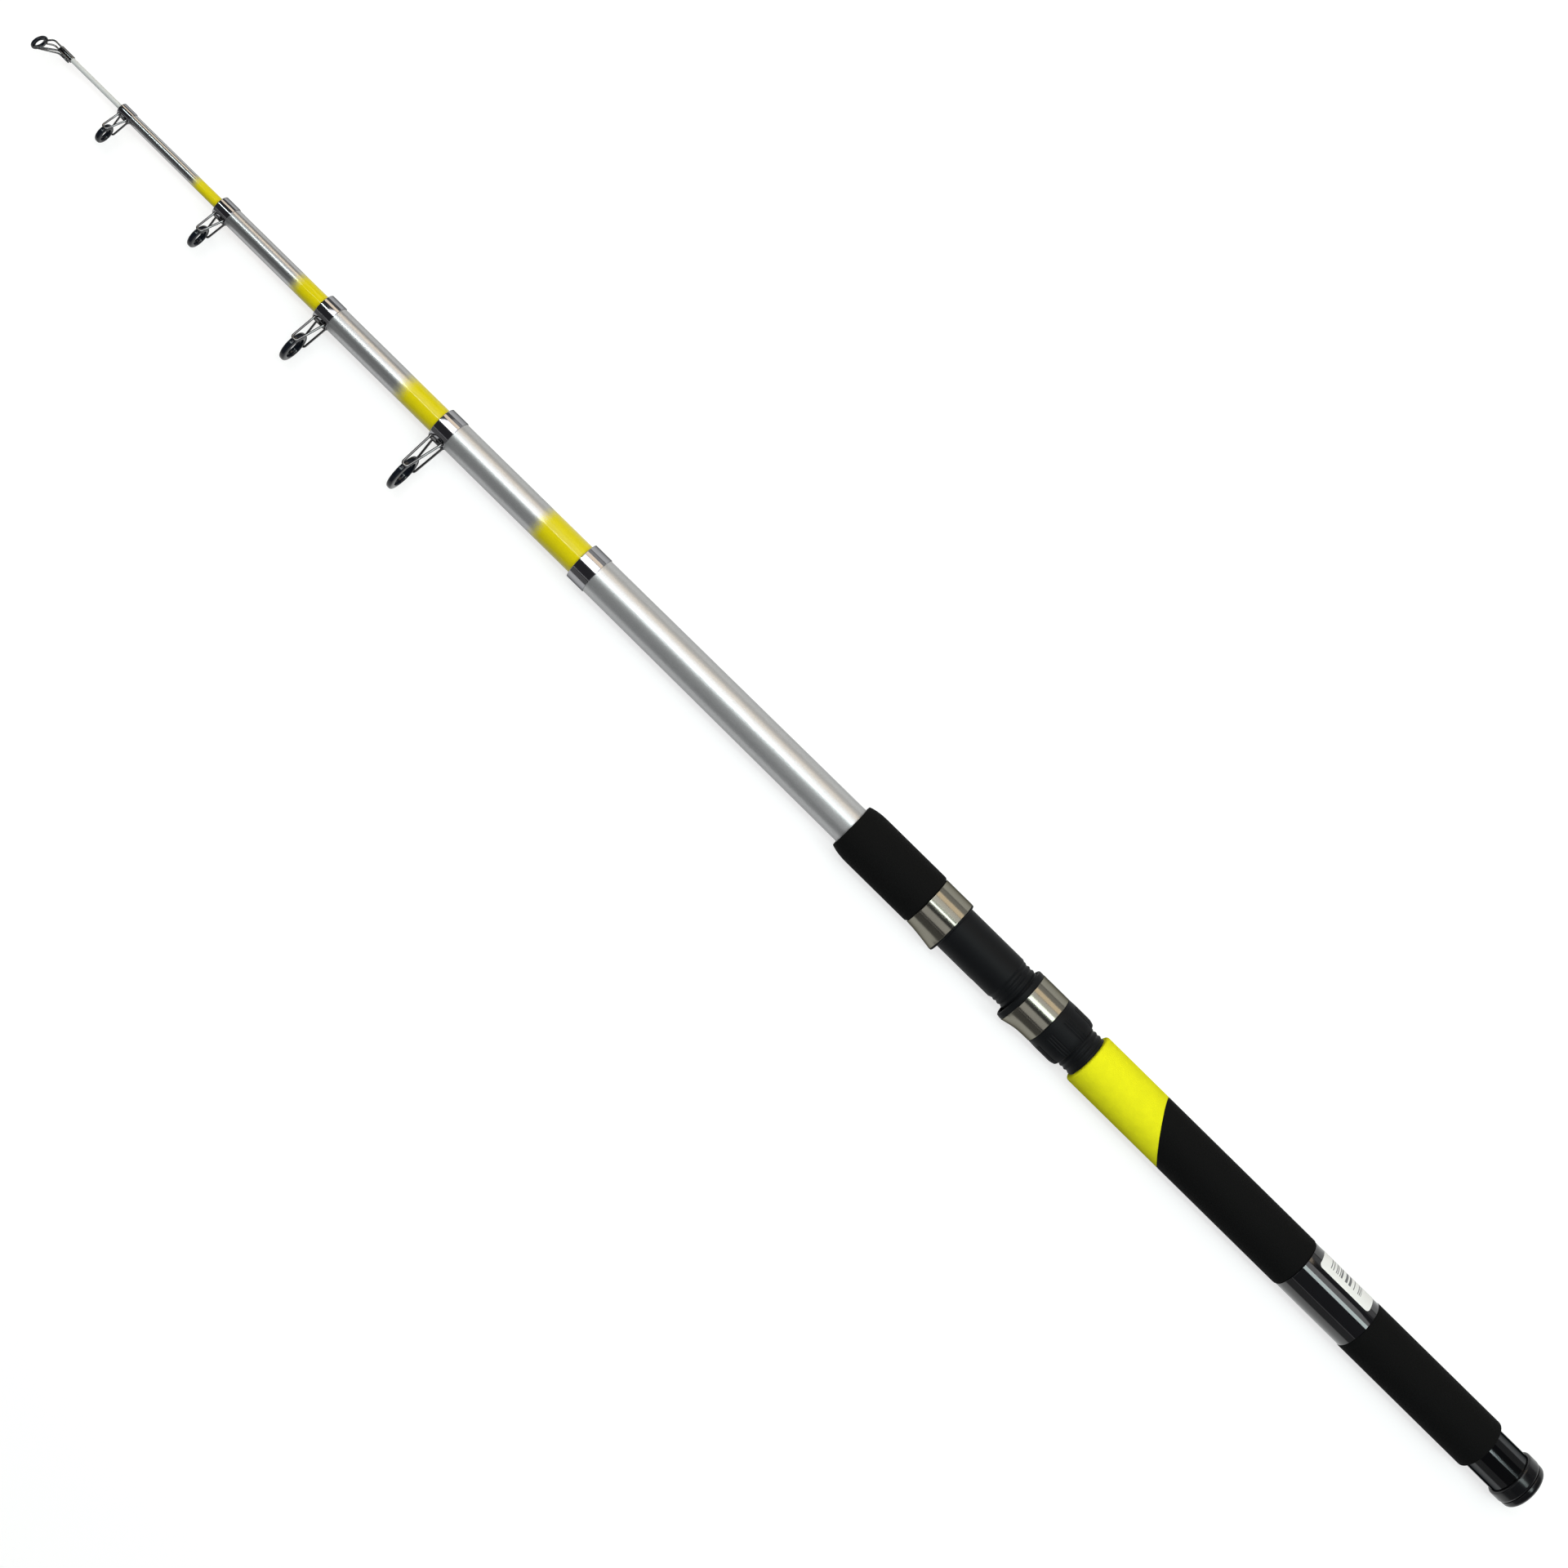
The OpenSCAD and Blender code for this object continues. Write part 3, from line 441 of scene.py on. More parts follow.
def flake_group():
    """Metal flake: each cell of a fine mosaic has its own brightness, over a slow cloud."""
    tree, given, out = group("flake", "Scale", 4500.0, ["Sparkle"])
    cells = node(tree, "TexVoronoi", {"Vector": given["Vector"], "Scale": given["Scale"]})
    grey = node(tree, "SeparateColor", {0: cells.outputs["Color"]}).outputs[0]
    cloud = noise(given["Vector"], 60.0, 2.0)
    send(out, Sparkle=calc("MULTIPLY_ADD", cloud, 0.25, calc("MULTIPLY", grey, 0.75)))


def foam_group():
    """Closed foam cells: distance to the cell middle gives the height, and the height times a slow cloud
    gives the shade, which is painted shade in the cell hollows mottled by the cloud.
    """
    tree, given, out = group("foam_cells", "Scale", 2400.0, ["Shade", "Height"])
    cells = node(tree, "TexVoronoi", {"Vector": given["Vector"], "Scale": given["Scale"]})
    height = cells.outputs["Distance"]
    cloud = noise(given["Vector"], 180.0, 4.0)
    send(out, Shade=calc("MULTIPLY", height, cloud), Height=height)


def handling_group():
    """Smudges as a slow cloud, and fine lines as noise drawn out along the given stretch."""
    tree, given, out = group("handling", "Stretch", (400.0, 4000.0, 4000.0), ["Smudge", "Lines"])
    place = given["Vector"]
    drawn = node(tree, "VectorMath", {0: place, 1: given["Stretch"]}, operation="MULTIPLY")
    send(out, Smudge=noise(place, 90.0, 5.0), Lines=noise(drawn.outputs[0], 1.0, 3.0))


def ranged(value, low, high, start=0.0, end=1.0, smooth=False):
    """Maps a value from start..end to low..high."""
    span = {"Value": value, "From Min": start, "From Max": end, "To Min": low, "To Max": high}
    kind = "SMOOTHSTEP" if smooth else "LINEAR"
    return node(value.id_data, "MapRange", span, interpolation_type=kind).outputs["Result"]


def shaded(colour, value, low, high):
    """A colour multiplied by a value that is mapped to low..high."""
    scale = ranged(value, low, high)
    return node(scale.id_data, "VectorMath", {0: colour, "Scale": scale}, operation="SCALE").outputs[0]


def mixed(factor, first, second):
    """Mix of two colours or sockets by a factor."""
    ends = [c if isinstance(c, bpy.types.NodeSocket) else (*c, 1.0) for c in (first, second)]
    made = node(factor.id_data, "Mix", {"Factor": factor, 6: ends[0], 7: ends[1]}, data_type="RGBA")
    return made.outputs[2]


def material(name, **constants):
    """New material: gives the sockets of its Principled shader, and object coordinates."""
    made = bpy.data.materials.new(name)
    made.use_nodes = True
    sockets = made.node_tree.nodes["Principled BSDF"].inputs
    for key, value in constants.items():
        sockets[key.replace("_", " ")].default_value = value
    return sockets, node(made.node_tree, "TexCoord").outputs["Object"]


def placed(name, **inputs):
    """A shared group placed in the material of its vector."""
    return node(inputs["Vector"].id_data, "Group", inputs, node_tree=bpy.data.node_groups[name]).outputs


def bumped(sockets, height, strength, distance=0.0001):
    """Bump from a height into the shader's normal."""
    made = node(height.id_data, "Bump", {"Height": height, "Strength": strength, "Distance": distance})
    send(sockets, Normal=made.outputs[0])


def lacquer(name, colours, edge, bright, rough, dark=False):
    """Flaked silver lacquer under clear coat, with another colour behind the edge stations on the rod."""
    sockets, place = material(name, Coat_Roughness=0.04, Specular_IOR_Level=0.15, Specular_Tint=GRAZING)
    sparkle = placed("flake", Vector=place)["Sparkle"]
    station = node(place.id_data, "SeparateXYZ", {0: place}).outputs[0]
    drift = ranged(noise(place, 1800.0, 2.0), -PAINT_DRIFT, PAINT_DRIFT)
    sprayed = calc("ADD", station, drift)
    ahead = ranged(sprayed, 0.0, 1.0, edge[0] * MM, edge[1] * MM, smooth=True)
    paint = colours.black_paint if dark else colours.yellow
    shine, dullness, coat = BLACK_FINISH if dark else YELLOW_FINISH
    other = shaded(paint, sparkle, 0.9, 1.1)
    silver = shaded(colours.silver, sparkle, 0.86, 1.14)
    send(sockets, Base_Color=mixed(ahead, other, silver),
         Metallic=ranged(ahead, shine, bright), Roughness=ranged(ahead, dullness, rough),
         Coat_Weight=ranged(ahead, coat, SILVER_COAT))
    bumped(sockets, sparkle, 0.02)


def varied(sockets, colour, tone, tones, gloss, roughs):
    """Gives the shader a colour that varies with a tone, and a roughness that varies with a gloss."""
    send(sockets, Base_Color=shaded(colour, tone, *tones), Roughness=ranged(gloss, *roughs))


def metal(name, colour, stretch, rough, lines):
    """Bright metal with smudges in its roughness and fine lines in its surface."""
    sockets, place = material(name, Metallic=1.0, Specular_Tint=GRAZING)
    marks = placed("handling", Vector=place, Stretch=stretch)
    varied(sockets, colour, marks["Lines"], (0.94, 1.06), marks["Smudge"], rough)
    bumped(sockets, marks["Lines"], lines)


def foam(name, colour):
    """Closed-cell foam: colour mottled and darker in the cell hollows as painted shade, dull surface and
    cells in relief.
    """
    sockets, place = material(name, Specular_IOR_Level=0.05)
    cells = placed("foam_cells", Vector=place)
    # The colour darkens in the cell hollows as painted shade, and a slow cloud mottles it
    varied(sockets, colour, cells["Shade"], (0.92, 1.18), cells["Shade"], (0.8, 0.95))
    bumped(sockets, cells["Height"], 0.35, 0.0003)


def moulded(name, colour, rough, relief, **constants):
    """Moulded or fired surface: faint mottling, smudged gloss and a fine skin."""
    sockets, place = material(name, **constants)
    marks = placed("handling", Vector=place, Stretch=(2500.0, 2500.0, 2500.0))
    varied(sockets, colour, marks["Smudge"], (0.8, 1.2), marks["Smudge"], rough)
    bumped(sockets, marks["Lines"], relief)


def glass_fibre(name, colour):
    """Pale glass fibre with strands drawn out along the rod."""
    sockets, place = material(name, Coat_Weight=0.5, Coat_Roughness=0.08)
    strands = placed("handling", Vector=place, Stretch=(60.0, 5000.0, 5000.0))
    varied(sockets, colour, strands["Lines"], (0.85, 1.12), strands["Smudge"], (0.3, 0.45))
    bumped(sockets, strands["Lines"], 0.1)


def label_film(name, colour):
    """Pale film with plain bars: stripes along the label by station, kept to a band by its own map."""
    sockets, place = material(name, Specular_IOR_Level=0.4)
    tree = place.id_data
    spot = node(tree, "UVMap", uv_map="label").outputs[0]
    u, v, _ = node(tree, "SeparateXYZ", {0: spot}).outputs
    whole = calc("FLOOR", calc("MULTIPLY", u, LABEL_STRIPES))
    draw = node(tree, "TexWhiteNoise", {"W": whole}, noise_dimensions="1D").outputs["Value"]
    bar = calc("GREATER_THAN", draw, 0.52)
    for value, low, high in ((u, 0.22, 0.83), (v, 0.16, 0.5)):
        above = calc("GREATER_THAN", value, low)
        below = calc("LESS_THAN", value, high)
        bar = calc("MULTIPLY", bar, calc("MULTIPLY", above, below))
    smudge = placed("handling", Vector=place)["Smudge"]
    film = shaded(colour, smudge, 0.94, 1.04)
    send(sockets, Base_Color=mixed(bar, film, LABEL_INK), Roughness=ranged(smudge, 0.35, 0.5))


class ROD_OT_finishes(bpy.types.Operator):
    """Makes the shared node groups and every material of the rod"""

    bl_idname = "rod.finishes"
    bl_label = "Finishes"

    def execute(self, context):
        colours = context.scene.rod_colours
        flake_group()
        foam_group()
        handling_group()
        lacquer("butt_lacquer", colours, (-220.0, -200.0), 0.72, 0.39, dark=True)
        for number, section in SECTIONS.items():
            bright, rough = 0.6 + 0.075 * number, 0.5 - 0.055 * number
            lacquer(f"section_{number}_lacquer", colours, section[6], bright, rough)
        glass_fibre("tip_fibre", colours.glass)
        metal("bright_chrome", colours.chrome, (300.0, 3000.0, 3000.0), (0.05, 0.12), 0.02)
        # A darker copy of the chrome: painted shade on the wires and the ferrule
        metal("wire_chrome", colours.wire, (3000.0, 3000.0, 3000.0), (0.08, 0.15), 0.01)
        metal("brushed_steel", colours.steel, (5000.0, 90.0, 90.0), (0.13, 0.2), 0.015)
        foam("black_eva", colours.foam_black)
        foam("yellow_eva", colours.foam_yellow)
        moulded("seat_black", colours.plastic, (0.48, 0.58), 0.1, Specular_IOR_Level=0.08)
        moulded("gloss_black", colours.gloss, (0.03, 0.07), 0.01, Specular_IOR_Level=0.8)
        moulded("cap_black", colours.gloss, (0.16, 0.24), 0.03, Specular_IOR_Level=0.3)
        moulded("fired_black", colours.ring, (0.08, 0.14), 0.02, Specular_IOR_Level=0.25)
        moulded("pad_black", colours.rubber, (0.6, 0.75), 0.3)
        label_film("label_white", colours.label)
        return {"FINISHED"}


class ROD_OT_tubes(bpy.types.Operator):
    """Makes the butt tube, the four hollow sections and the solid tip"""

    bl_idname = "rod.tubes"
    bl_label = "Tubes"

    def execute(self, context):
        base, end, base_r = extent("butt_blank")
        collar_x, _, collar_r = extent("butt_collar")
        mouth = collar_r - COLLAR_WALL - BOND
        step = base + INSERT_L + BOND
        corners = [
            (base, INSERT_R + BOND), (base, base_r), (collar_x, mouth), (end, mouth), (end, BUTT_BORE),
            (step, BUTT_BORE + BORE_DRAFT), (step, INSERT_R + BOND)]
        rounds = [0, 0.2, 0, 0.1, 0.1, 0, 0]
        lathe("butt_tube", corners, rounds, "butt_lacquer", "butt", "butt_paint", "butt_blank")
        for number, section in SECTIONS.items():
            body = f"section_{number}"
            base, end, base_r = extent(f"{body}_blank")
            collar_x, _, collar_r = extent(f"{body}_collar")
            mouth = collar_r - COLLAR_WALL - BOND
            bore = section[0]
            corners = [
                (base, bore + BORE_DRAFT), (base, base_r), (collar_x, mouth), (end, mouth), (end, bore)]
            rounds = [0.1, 0.2, 0, 0.1, 0.1]
            lathe(f"{body}_tube", corners, rounds, f"{body}_lacquer", body, "section_paint", f"{body}_blank")
        base, end, base_r = extent("tip_blank")
        ferrule_x, _, ferrule_r = extent("tip_ferrule")
        tip_r = ferrule_r - (FERRULE_WALL + BOND)
        corners = [(base, 0.4), (base, base_r), (ferrule_x, tip_r), (end, tip_r), (end, 0.4)]
        lathe("tip_rod", corners, [0, 0.3, 0, 0.1, 0], "tip_fibre", "tip", "tip_glass", "tip_blank",
              columns=64, ring=False)
        return {"FINISHED"}


def lipped(rear, front, r, seat, bore):
    """Corners of a sleeve of inner radius seat with a lip of inner radius bore at its front."""
    lip = front - COLLAR_LIP
    return [(rear, seat), (rear, r), (front, r), (front, bore), (lip, bore), (lip, seat)]


class ROD_OT_collars(bpy.types.Operator):
    """Makes the chrome collars at the mouths and the ferrule at the tip"""

    bl_idname = "rod.collars"
    bl_label = "Collars"

    def execute(self, context):
        mouths = [("butt_collar", "butt", BUTT_BORE)]
        mouths += [(f"section_{n}_collar", f"section_{n}", s[0]) for n, s in SECTIONS.items()]
        for name, body, bore in mouths:
            rear, front, r = extent(name)
            corners = lipped(rear, front, r, r - COLLAR_WALL, bore)
            rounds = [0.05, 0.19, 0.36, 0.12, 0.1, 0]
            lathe(f"{name}_band", corners, rounds, "bright_chrome", body, "chrome", name)
        rear, front, r = extent("tip_ferrule")
        corners = lipped(rear, front, r, r - FERRULE_WALL, 0.3)
        rounds = [0, 0.1, 0.34, 0, 0, 0]
        lathe("tip_ferrule_tube", corners, rounds, "wire_chrome", "tip", "chrome", "tip_ferrule", columns=64)
        return {"FINISHED"}


def ring_profile(diameter, bore, length, flare):
    """Closed outline of a guide ring with a flared bore, as [station, radius] about its middle."""
    inner, outer, half = bore / 2, diameter / 2, length / 2
    mouth = inner + flare * (outer - inner)
    corners = [(-0.12 * length, inner), (-half, mouth), (-0.75 * half, outer)]
    corners += [(-x, r) for x, r in corners[::-1]]
    return eased(corners, 0.3 * length, 8, closed=True)


def guide_wires(rear, front, collar_r, height, ring_d, ring_l, wire_d, braze):
    """Two hairpins from collar to ring: legs touch the ring's circle, and each closes across its width."""
    mid = (rear + front) / 2 + RING_AHEAD
    foot_r = collar_r + BOND + FOOT_SINK
    foot = np.array([foot_r * math.cos(FOOT_ANGLE), foot_r * math.sin(FOOT_ANGLE)])
    clasp_r = ring_d / 2 + BOND + wire_d * BEND_SWELL / 2
    lean = foot - np.array([height, 0.0])
    turn = math.atan2(lean[1], lean[0]) - math.acos(clasp_r / np.linalg.norm(lean))
    clasp = np.array([height + clasp_r * math.cos(turn), clasp_r * math.sin(turn)])
    half = ring_l * CLASP_SHARE / 2
    front_foot = front - FOOT_INSET - wire_d / 2
    rear_foot = rear + FOOT_INSET + wire_d / 2
    skins = []
    for side in (-1, 1):
        low = foot * (1, side)
        high = clasp * (1, side)
        near = low + (high - low) * 0.06
        path = eased(
            [(front_foot, *low), (front_foot + (mid + half - front_foot) * 0.06, *near), (mid + half, *high),
             (mid - half, *high), (rear_foot + (mid - half - rear_foot) * 0.06, *near), (rear_foot, *low)],
            [0, 0, ring_l, ring_l, 0, 0], 9)
        size = np.full(len(path), wire_d / 2)
        size[[0, -1]] += braze
        skins.append(skin(wire(path, size, 20), ring=False))
    return skins, rear_foot - wire_d / 2, front_foot + wire_d / 2


def saddle_plate(rear, front, collar_r):
    """Curved plate on the collar: a crescent section carried along the rod, thinner at its ends."""
    inner = collar_r + BOND
    limit = math.asin(collar_r * math.sin(SADDLE_ANGLE) / (inner + SADDLE_T))
    a = np.linspace(-limit, limit, 25)
    edge = np.sqrt(1 - np.abs(a / limit) ** 6)
    angle = chain(a, a[::-1])
    lift = chain(SADDLE_T * (0.35 + 0.65 * edge), np.zeros(25))
    x = np.array([rear, rear + 0.12, rear + 0.4, front - 0.4, front - 0.12, front])
    share = np.array([0.4, 0.8, 1, 1, 0.8, 0.4])
    return skin(around(x[:, None], inner + share[:, None] * lift, angle[None]), ring=False)


class ROD_OT_guides(bpy.types.Operator):
    """Makes the wire frames and rings of the four section guides"""

    bl_idname = "rod.guides"
    bl_label = "Guides"

    def execute(self, context):
        braze = context.scene.rod_sizes.braze / MM
        for number, section in SECTIONS.items():
            _, height, ring_d, bore, length, wire_d, _ = section
            body = f"section_{number}"
            guide = f"guide_{number}"
            rear, front, collar_r = extent(f"{body}_collar")
            skins, plate_rear, plate_front = guide_wires(
                rear, front, collar_r, height, ring_d, length, wire_d, braze)
            skins.append(saddle_plate(plate_rear, plate_front, collar_r))
            piece(f"{guide}_wires", joined(*skins), "wire_chrome", body, "chrome", f"{guide}_frame")
            ring_at = np.array([(rear + front) / 2 + RING_AHEAD, height, 0.0])
            ring = turned(ring_profile(ring_d, bore, length, 0.05 * (number - 1)), 96) + ring_at
            piece(f"{guide}_eye", skin(ring), "fired_black", body, "guide_ring", f"{guide}_ring")
        return {"FINISHED"}


class ROD_OT_tip_guide(bpy.types.Operator):
    """Makes the double arm, the braces and the ring of the tip guide"""

    bl_idname = "rod.tip_guide"
    bl_label = "Tip guide"

    def execute(self, context):
        ring_x, height, ring_d, bore, length, lean, wire_d = TIP_RING
        rear, front, ferrule_r = extent("tip_ferrule")
        off = ferrule_r + BOND + wire_d * BEND_SWELL / 2
        y = off * math.cos(BRACE_ANGLE)
        rim = (ring_d + bore) / 4
        back = length / 2 + BOND + wire_d * BEND_SWELL / 2
        c, s = math.cos(lean), math.sin(lean)
        skins = []
        for side in (-1, 1):
            z = side * off * math.sin(BRACE_ANGLE)
            arm_end = (ring_x - rim * s - back * c, height - rim * c + back * s, side * ARM_SPREAD)
            brace_end = (ring_x + rim * s - back * c, height + rim * c + back * s, side * BRACE_SPREAD)
            arm = eased([(rear + 1.2, 0, side * off), (front + 4.7, 0, side * off), arm_end], [0, 1.6, 0], 10)
            brace = eased([(rear + 1.2, y, z), (front - 1.0, y, z), brace_end], [0, 1.6, 0], 8)
            skins.append(skin(tipped(wire(arm, wire_d / 2)), ring=False))
            skins.append(skin(tipped(wire(brace, wire_d / 2)), ring=False))
        piece("tip_guide_wires", joined(*skins), "wire_chrome", "tip", "chrome", "tip_frame")
        x, across, up = np.moveaxis(turned(ring_profile(ring_d, bore, length, 0.1), 96), -1, 0)
        ring = np.stack([ring_x + x * c + across * s, height + across * c - x * s, up], axis=-1)
        piece("tip_guide_eye", skin(tipped(ring)), "fired_black", "tip", "guide_ring", "tip_ring")
        return {"FINISHED"}


def blended_max(a, b, soft):
    """Larger of two values with a soft change-over: (a + b + sqrt((a - b)^2 + k^2)) / 2."""
    return (a + b + np.sqrt((a - b) ** 2 + soft * soft)) / 2


def bulge_circle(phi, reach, r):
    """Polar radius of a circle that stands off the axis by c: c cos p + sqrt(r^2 - c^2 sin^2 p)."""
    c = reach - BULGE_R
    return c * np.cos(phi) + np.sqrt(r * r - (c * np.sin(phi)) ** 2)


def hood_shell(rear, front, reach, soft):
    """Steel shell: the hood's outer form, and the same form taken in by the shell's thickness."""
    phi = angles(192)
    corners = [(rear, SHELL_T), (rear, 0), (front, 0), (front, SHELL_T)]
    edges = eased(corners, [0.1, 0.25, 0.25, 0.1], 5, closed=True)
    outer = np.linspace(rear + 0.4, front - 0.4, 26)
    top = len(edges) // 2
    x = chain(edges[:top, 0], outer, edges[top:, 0], outer[::-2])[:, None]
    inset = chain(edges[:top, 1], 0 * outer, edges[top:, 1], 0 * outer[::-2] + SHELL_T)[:, None]
    r = blended_max(HOOD_R, bulge_circle(phi, reach(x), BULGE_R), soft) - inset
    return skin(around(x, r, phi))


def hood_liner(back, shell_edge, lip, reach, pocket_reach, bore, lip_round, soft):
    """Liner: form inside the shell, rounded lip ahead of it, bore, and a pocket for the reel's foot."""
    phi = angles(192)
    way = 1 if lip > back else -1
    inside = np.linspace(back, shell_edge - way * 0.02, 14)
    rise = lip_round * np.sin(np.linspace(0, math.pi / 2, 9))
    shown = chain(
        np.linspace(shell_edge, lip - way * lip_round, 5)[:-1], lip + way * (rise - lip_round))
    drop = lip_round - np.sqrt(np.maximum(lip_round ** 2 - rise ** 2, 0))
    shown_inset = LIP_INSET + chain(np.zeros(4), drop)
    shown_inset[0] += 0.25
    x = chain(inside, shown)[:, None]
    inset = chain(0 * inside + LINER_INSET, shown_inset)[:, None]
    outer_r = blended_max(HOOD_R, bulge_circle(phi, reach(x), BULGE_R), soft) - inset
    pocket_end = lip - way * POCKET_L
    pocket_x = chain([lip, lip - way * 0.1], np.linspace(lip - way * 0.4, pocket_end, 12))[:, None]
    chamfer = chain([0.3, 0.12], np.zeros(12))[:, None]
    pocket = np.maximum(bore, bulge_circle(phi, pocket_reach(pocket_x), POCKET_R)) + chamfer
    end_x = np.array([pocket_end, (pocket_end + back) / 2, back])[:, None]
    points = [around(x, outer_r, phi), around(pocket_x, pocket, phi), around(end_x, bore, phi)]
    return skin(np.concatenate(points))


def block(x, y, length, height, width):
    """Bar with eased edges: a rounded oblong section carried along the rod, smaller at its ends."""
    half = np.array([height / 2, width / 2])
    outline = eased(np.array([(-1, -1), (1, -1), (1, 1), (-1, 1)]) * half, 0.25, 4, closed=True)
    stations = x + length * np.array([-0.5, -0.48, 0.48, 0.5])
    share = np.array([0.85, 1, 1, 0.85])
    across = share[:, None, None] * outline[None]
    along = np.broadcast_to(stations[:, None, None], (*across.shape[:2], 1))
    points = np.concatenate([along, across], axis=-1)
    return skin(points + np.array([0.0, y, 0.0]), ring=False)


def seat_barrel(pitch, depth):
    """Barrel: thread r = crest - depth ((1 - cos(2 pi x/pitch - a)) / 2)^0.8, saddle, key slot and bore."""
    rear, front, _ = extent("seat_barrel")
    thread_front = rear + THREAD_L
    slot_rear, slot_front = thread_front - SLOT_L, thread_front + POCKET_L
    bore = blank_radius(rear) + BOND
    slot_angle = math.asin(SLOT_HALF / THREAD_R)
    cuts = slot_angle + np.radians([-0.1, 0.1])
    phi = np.sort(chain(angles(144) - math.pi, cuts, -cuts))
    x = np.sort(chain(
        np.arange(rear + 0.3, thread_front, pitch / 9), thread_front + np.array([0, 0.5, 1.0, 1.3]),
        np.linspace(thread_front + 3, front - 0.5, 8), slot_rear + np.array([-0.05, 0.05]),
        slot_front + np.array([-0.05, 0.05]), [front - 0.1, front]))[:, None]
    ramp = np.clip((x - rear) / 1.5, 0, 1) * np.clip((thread_front - x) / 1.5, 0, 1)
    wave = (1 - np.cos(TURN * x / pitch - phi)) / 2
    thread = THREAD_R - depth * ramp * wave ** 0.8
    plain = THREAD_R + (SEAT_R - THREAD_R) * np.clip(x - thread_front, 0, 1) - 0.3 * (x > front - 0.05)
    r = np.where(x < thread_front, thread, plain)
    slot = (np.abs(phi) < slot_angle) & (x > slot_rear) & (x < slot_front)
    r = np.where(slot, bore + 0.06, r)
    ends = np.array([rear, rear])[:, None]
    first = around(ends, np.array([bore, THREAD_R - 0.3])[:, None], phi)
    last = around(np.array([[front]]), bore, phi)
    return skin(chain(first, around(x, r, phi), last))


def lock_nut(depth):
    """Nut: turned outline less grip grooves, three to a group and eight groups round it."""
    rear, front, _ = extent("lock_nut")
    r = NUT_R
    bore = THREAD_R + 0.1
    profile = eased(
        [(rear, bore), (rear, r - 0.9), (rear + 3, r), (front - 4.6, r), (front, r - 0.25), (front, bore)],
        [0.2, 0.5, 1.2, 1.0, 0.4, 0.2], 6, closed=True)
    x, radius = profile.T[:, :, None]
    fill = np.linspace(rear + 4.5, front - 6.0, 8)[:, None]
    order = np.argmax((profile[:, 0] > rear + 4.4) & (profile[:, 1] > r - 0.3))
    x = chain(x[:order], fill, x[order:])
    radius = chain(radius[:order], 0 * fill + r, radius[order:])
    angle = angles(720)
    turn = np.degrees(angle)
    beside = np.abs(turn % 45 - 22.5)
    groove = np.clip(sum(np.clip(1.25 - np.abs(beside - c) / 1.6, 0, 1) for c in (0.0, 6.5)), 0, 1)
    outer = np.clip((radius - (r - 1.2)) / 0.3, 0, 1) * np.clip((front - 4.2 - x) / 1.2, 0, 1)
    return skin(around(x, radius - depth * groove * outer, angle))


class ROD_OT_reel_seat(bpy.types.Operator):
    """Makes the seat's barrel, both hoods with their liners, and the lock nut"""

    bl_idname = "rod.reel_seat"
    bl_label = "Reel seat"

    def execute(self, context):
        sizes = context.scene.rod_sizes
        soft = sizes.hood_fillet / MM
        barrel = seat_barrel(sizes.thread_pitch / MM, sizes.thread_depth / MM)
        piece("seat_barrel_thread", barrel, "seat_black", "butt", "seat_plastic", "seat_barrel", sharp=30)
        rear, front, _ = extent("fixed_hood_shell")
        fall = (FIXED_REACH[0] - FIXED_REACH[1]) / (front - rear)
        lip = extent("fixed_hood_liner")[0]

        def fixed(x):
            return FIXED_REACH[0] - fall * np.clip(x - rear, 0, None)

        def fixed_pocket(x):
            return FIXED_REACH[0] - (x - lip + 1) / (POCKET_L + 1)

        piece("fixed_hood_steel", hood_shell(rear, front, fixed, soft), "brushed_steel", "butt", "hood_steel",
              "fixed_hood_shell")
        liner = hood_liner(front, rear - BOND, lip, fixed, fixed_pocket, SEAT_R + BOND, 0.6, soft)
        piece("fixed_hood_lining", liner, "seat_black", "butt", "seat_plastic", "fixed_hood_liner")
        rear, front, _ = extent("sliding_hood_shell")
        lip = extent("sliding_hood_liner")[1]
        edge = front

        def sliding(x):
            ahead = np.clip(x - edge, 0, None)
            return SLIDING_REACH - SLIDING_SLOPE * np.clip(edge - x, 0, None) - 0.4 * ahead / (lip - edge)

        def sliding_pocket(x):
            return SLIDING_REACH - (lip + 1 - x) / (POCKET_L + 1)

        piece("sliding_hood_steel", hood_shell(rear, front, sliding, soft), "brushed_steel", "sliding_hood",
              "hood_steel", "sliding_hood_shell")
        liner = hood_liner(rear, edge + BOND, lip, sliding, sliding_pocket, SEAT_R + 0.15, 0.9, soft)
        piece("sliding_hood_lining", joined(liner, block(*KEY)), "seat_black", "sliding_hood", "seat_plastic",
              "sliding_hood_liner")
        piece("lock_nut_grip", lock_nut(sizes.groove_depth / MM), "seat_black", "lock_nut", "seat_plastic",
              "lock_nut", sharp=30)
        return {"FINISHED"}


def slipped_on(rear, front, r):
    """Corners of a straight tube on the butt."""
    return [(rear, blank_radius(rear) + BOND), (rear, r), (front, r), (front, blank_radius(front) + BOND)]


def parted(rear, front, r, edge, yellow):
    """Rear grip on one side of the oblique joint: stations at the joint lie on x = x0 + a y + b z."""
    angle = angles(160)
    bore_r = blank_radius(front if yellow else rear) + BOND
    joint_r = np.array([blank_radius(JOINT[0]) + BOND, r - 0.22, r - 0.06, r])[:, None]
    way = 1 if yellow else -1
    set_off = way * np.array([0.03, 0.03, 0.09, 0.25])[:, None]
    joint_x = JOINT[0] + joint_r * (JOINT[1] * np.cos(angle) + JOINT[2] * np.sin(angle)) + set_off
    end = front if yellow else rear
    rounding = eased([(end - way * 2 * edge, r), (end, r), (end, bore_r)], [0, edge * 1.4, 0], 9)
    x, radius = rounding.T[:, :, None]
    return skin(chain(around(joint_x, joint_r, angle), around(x, radius, angle)))


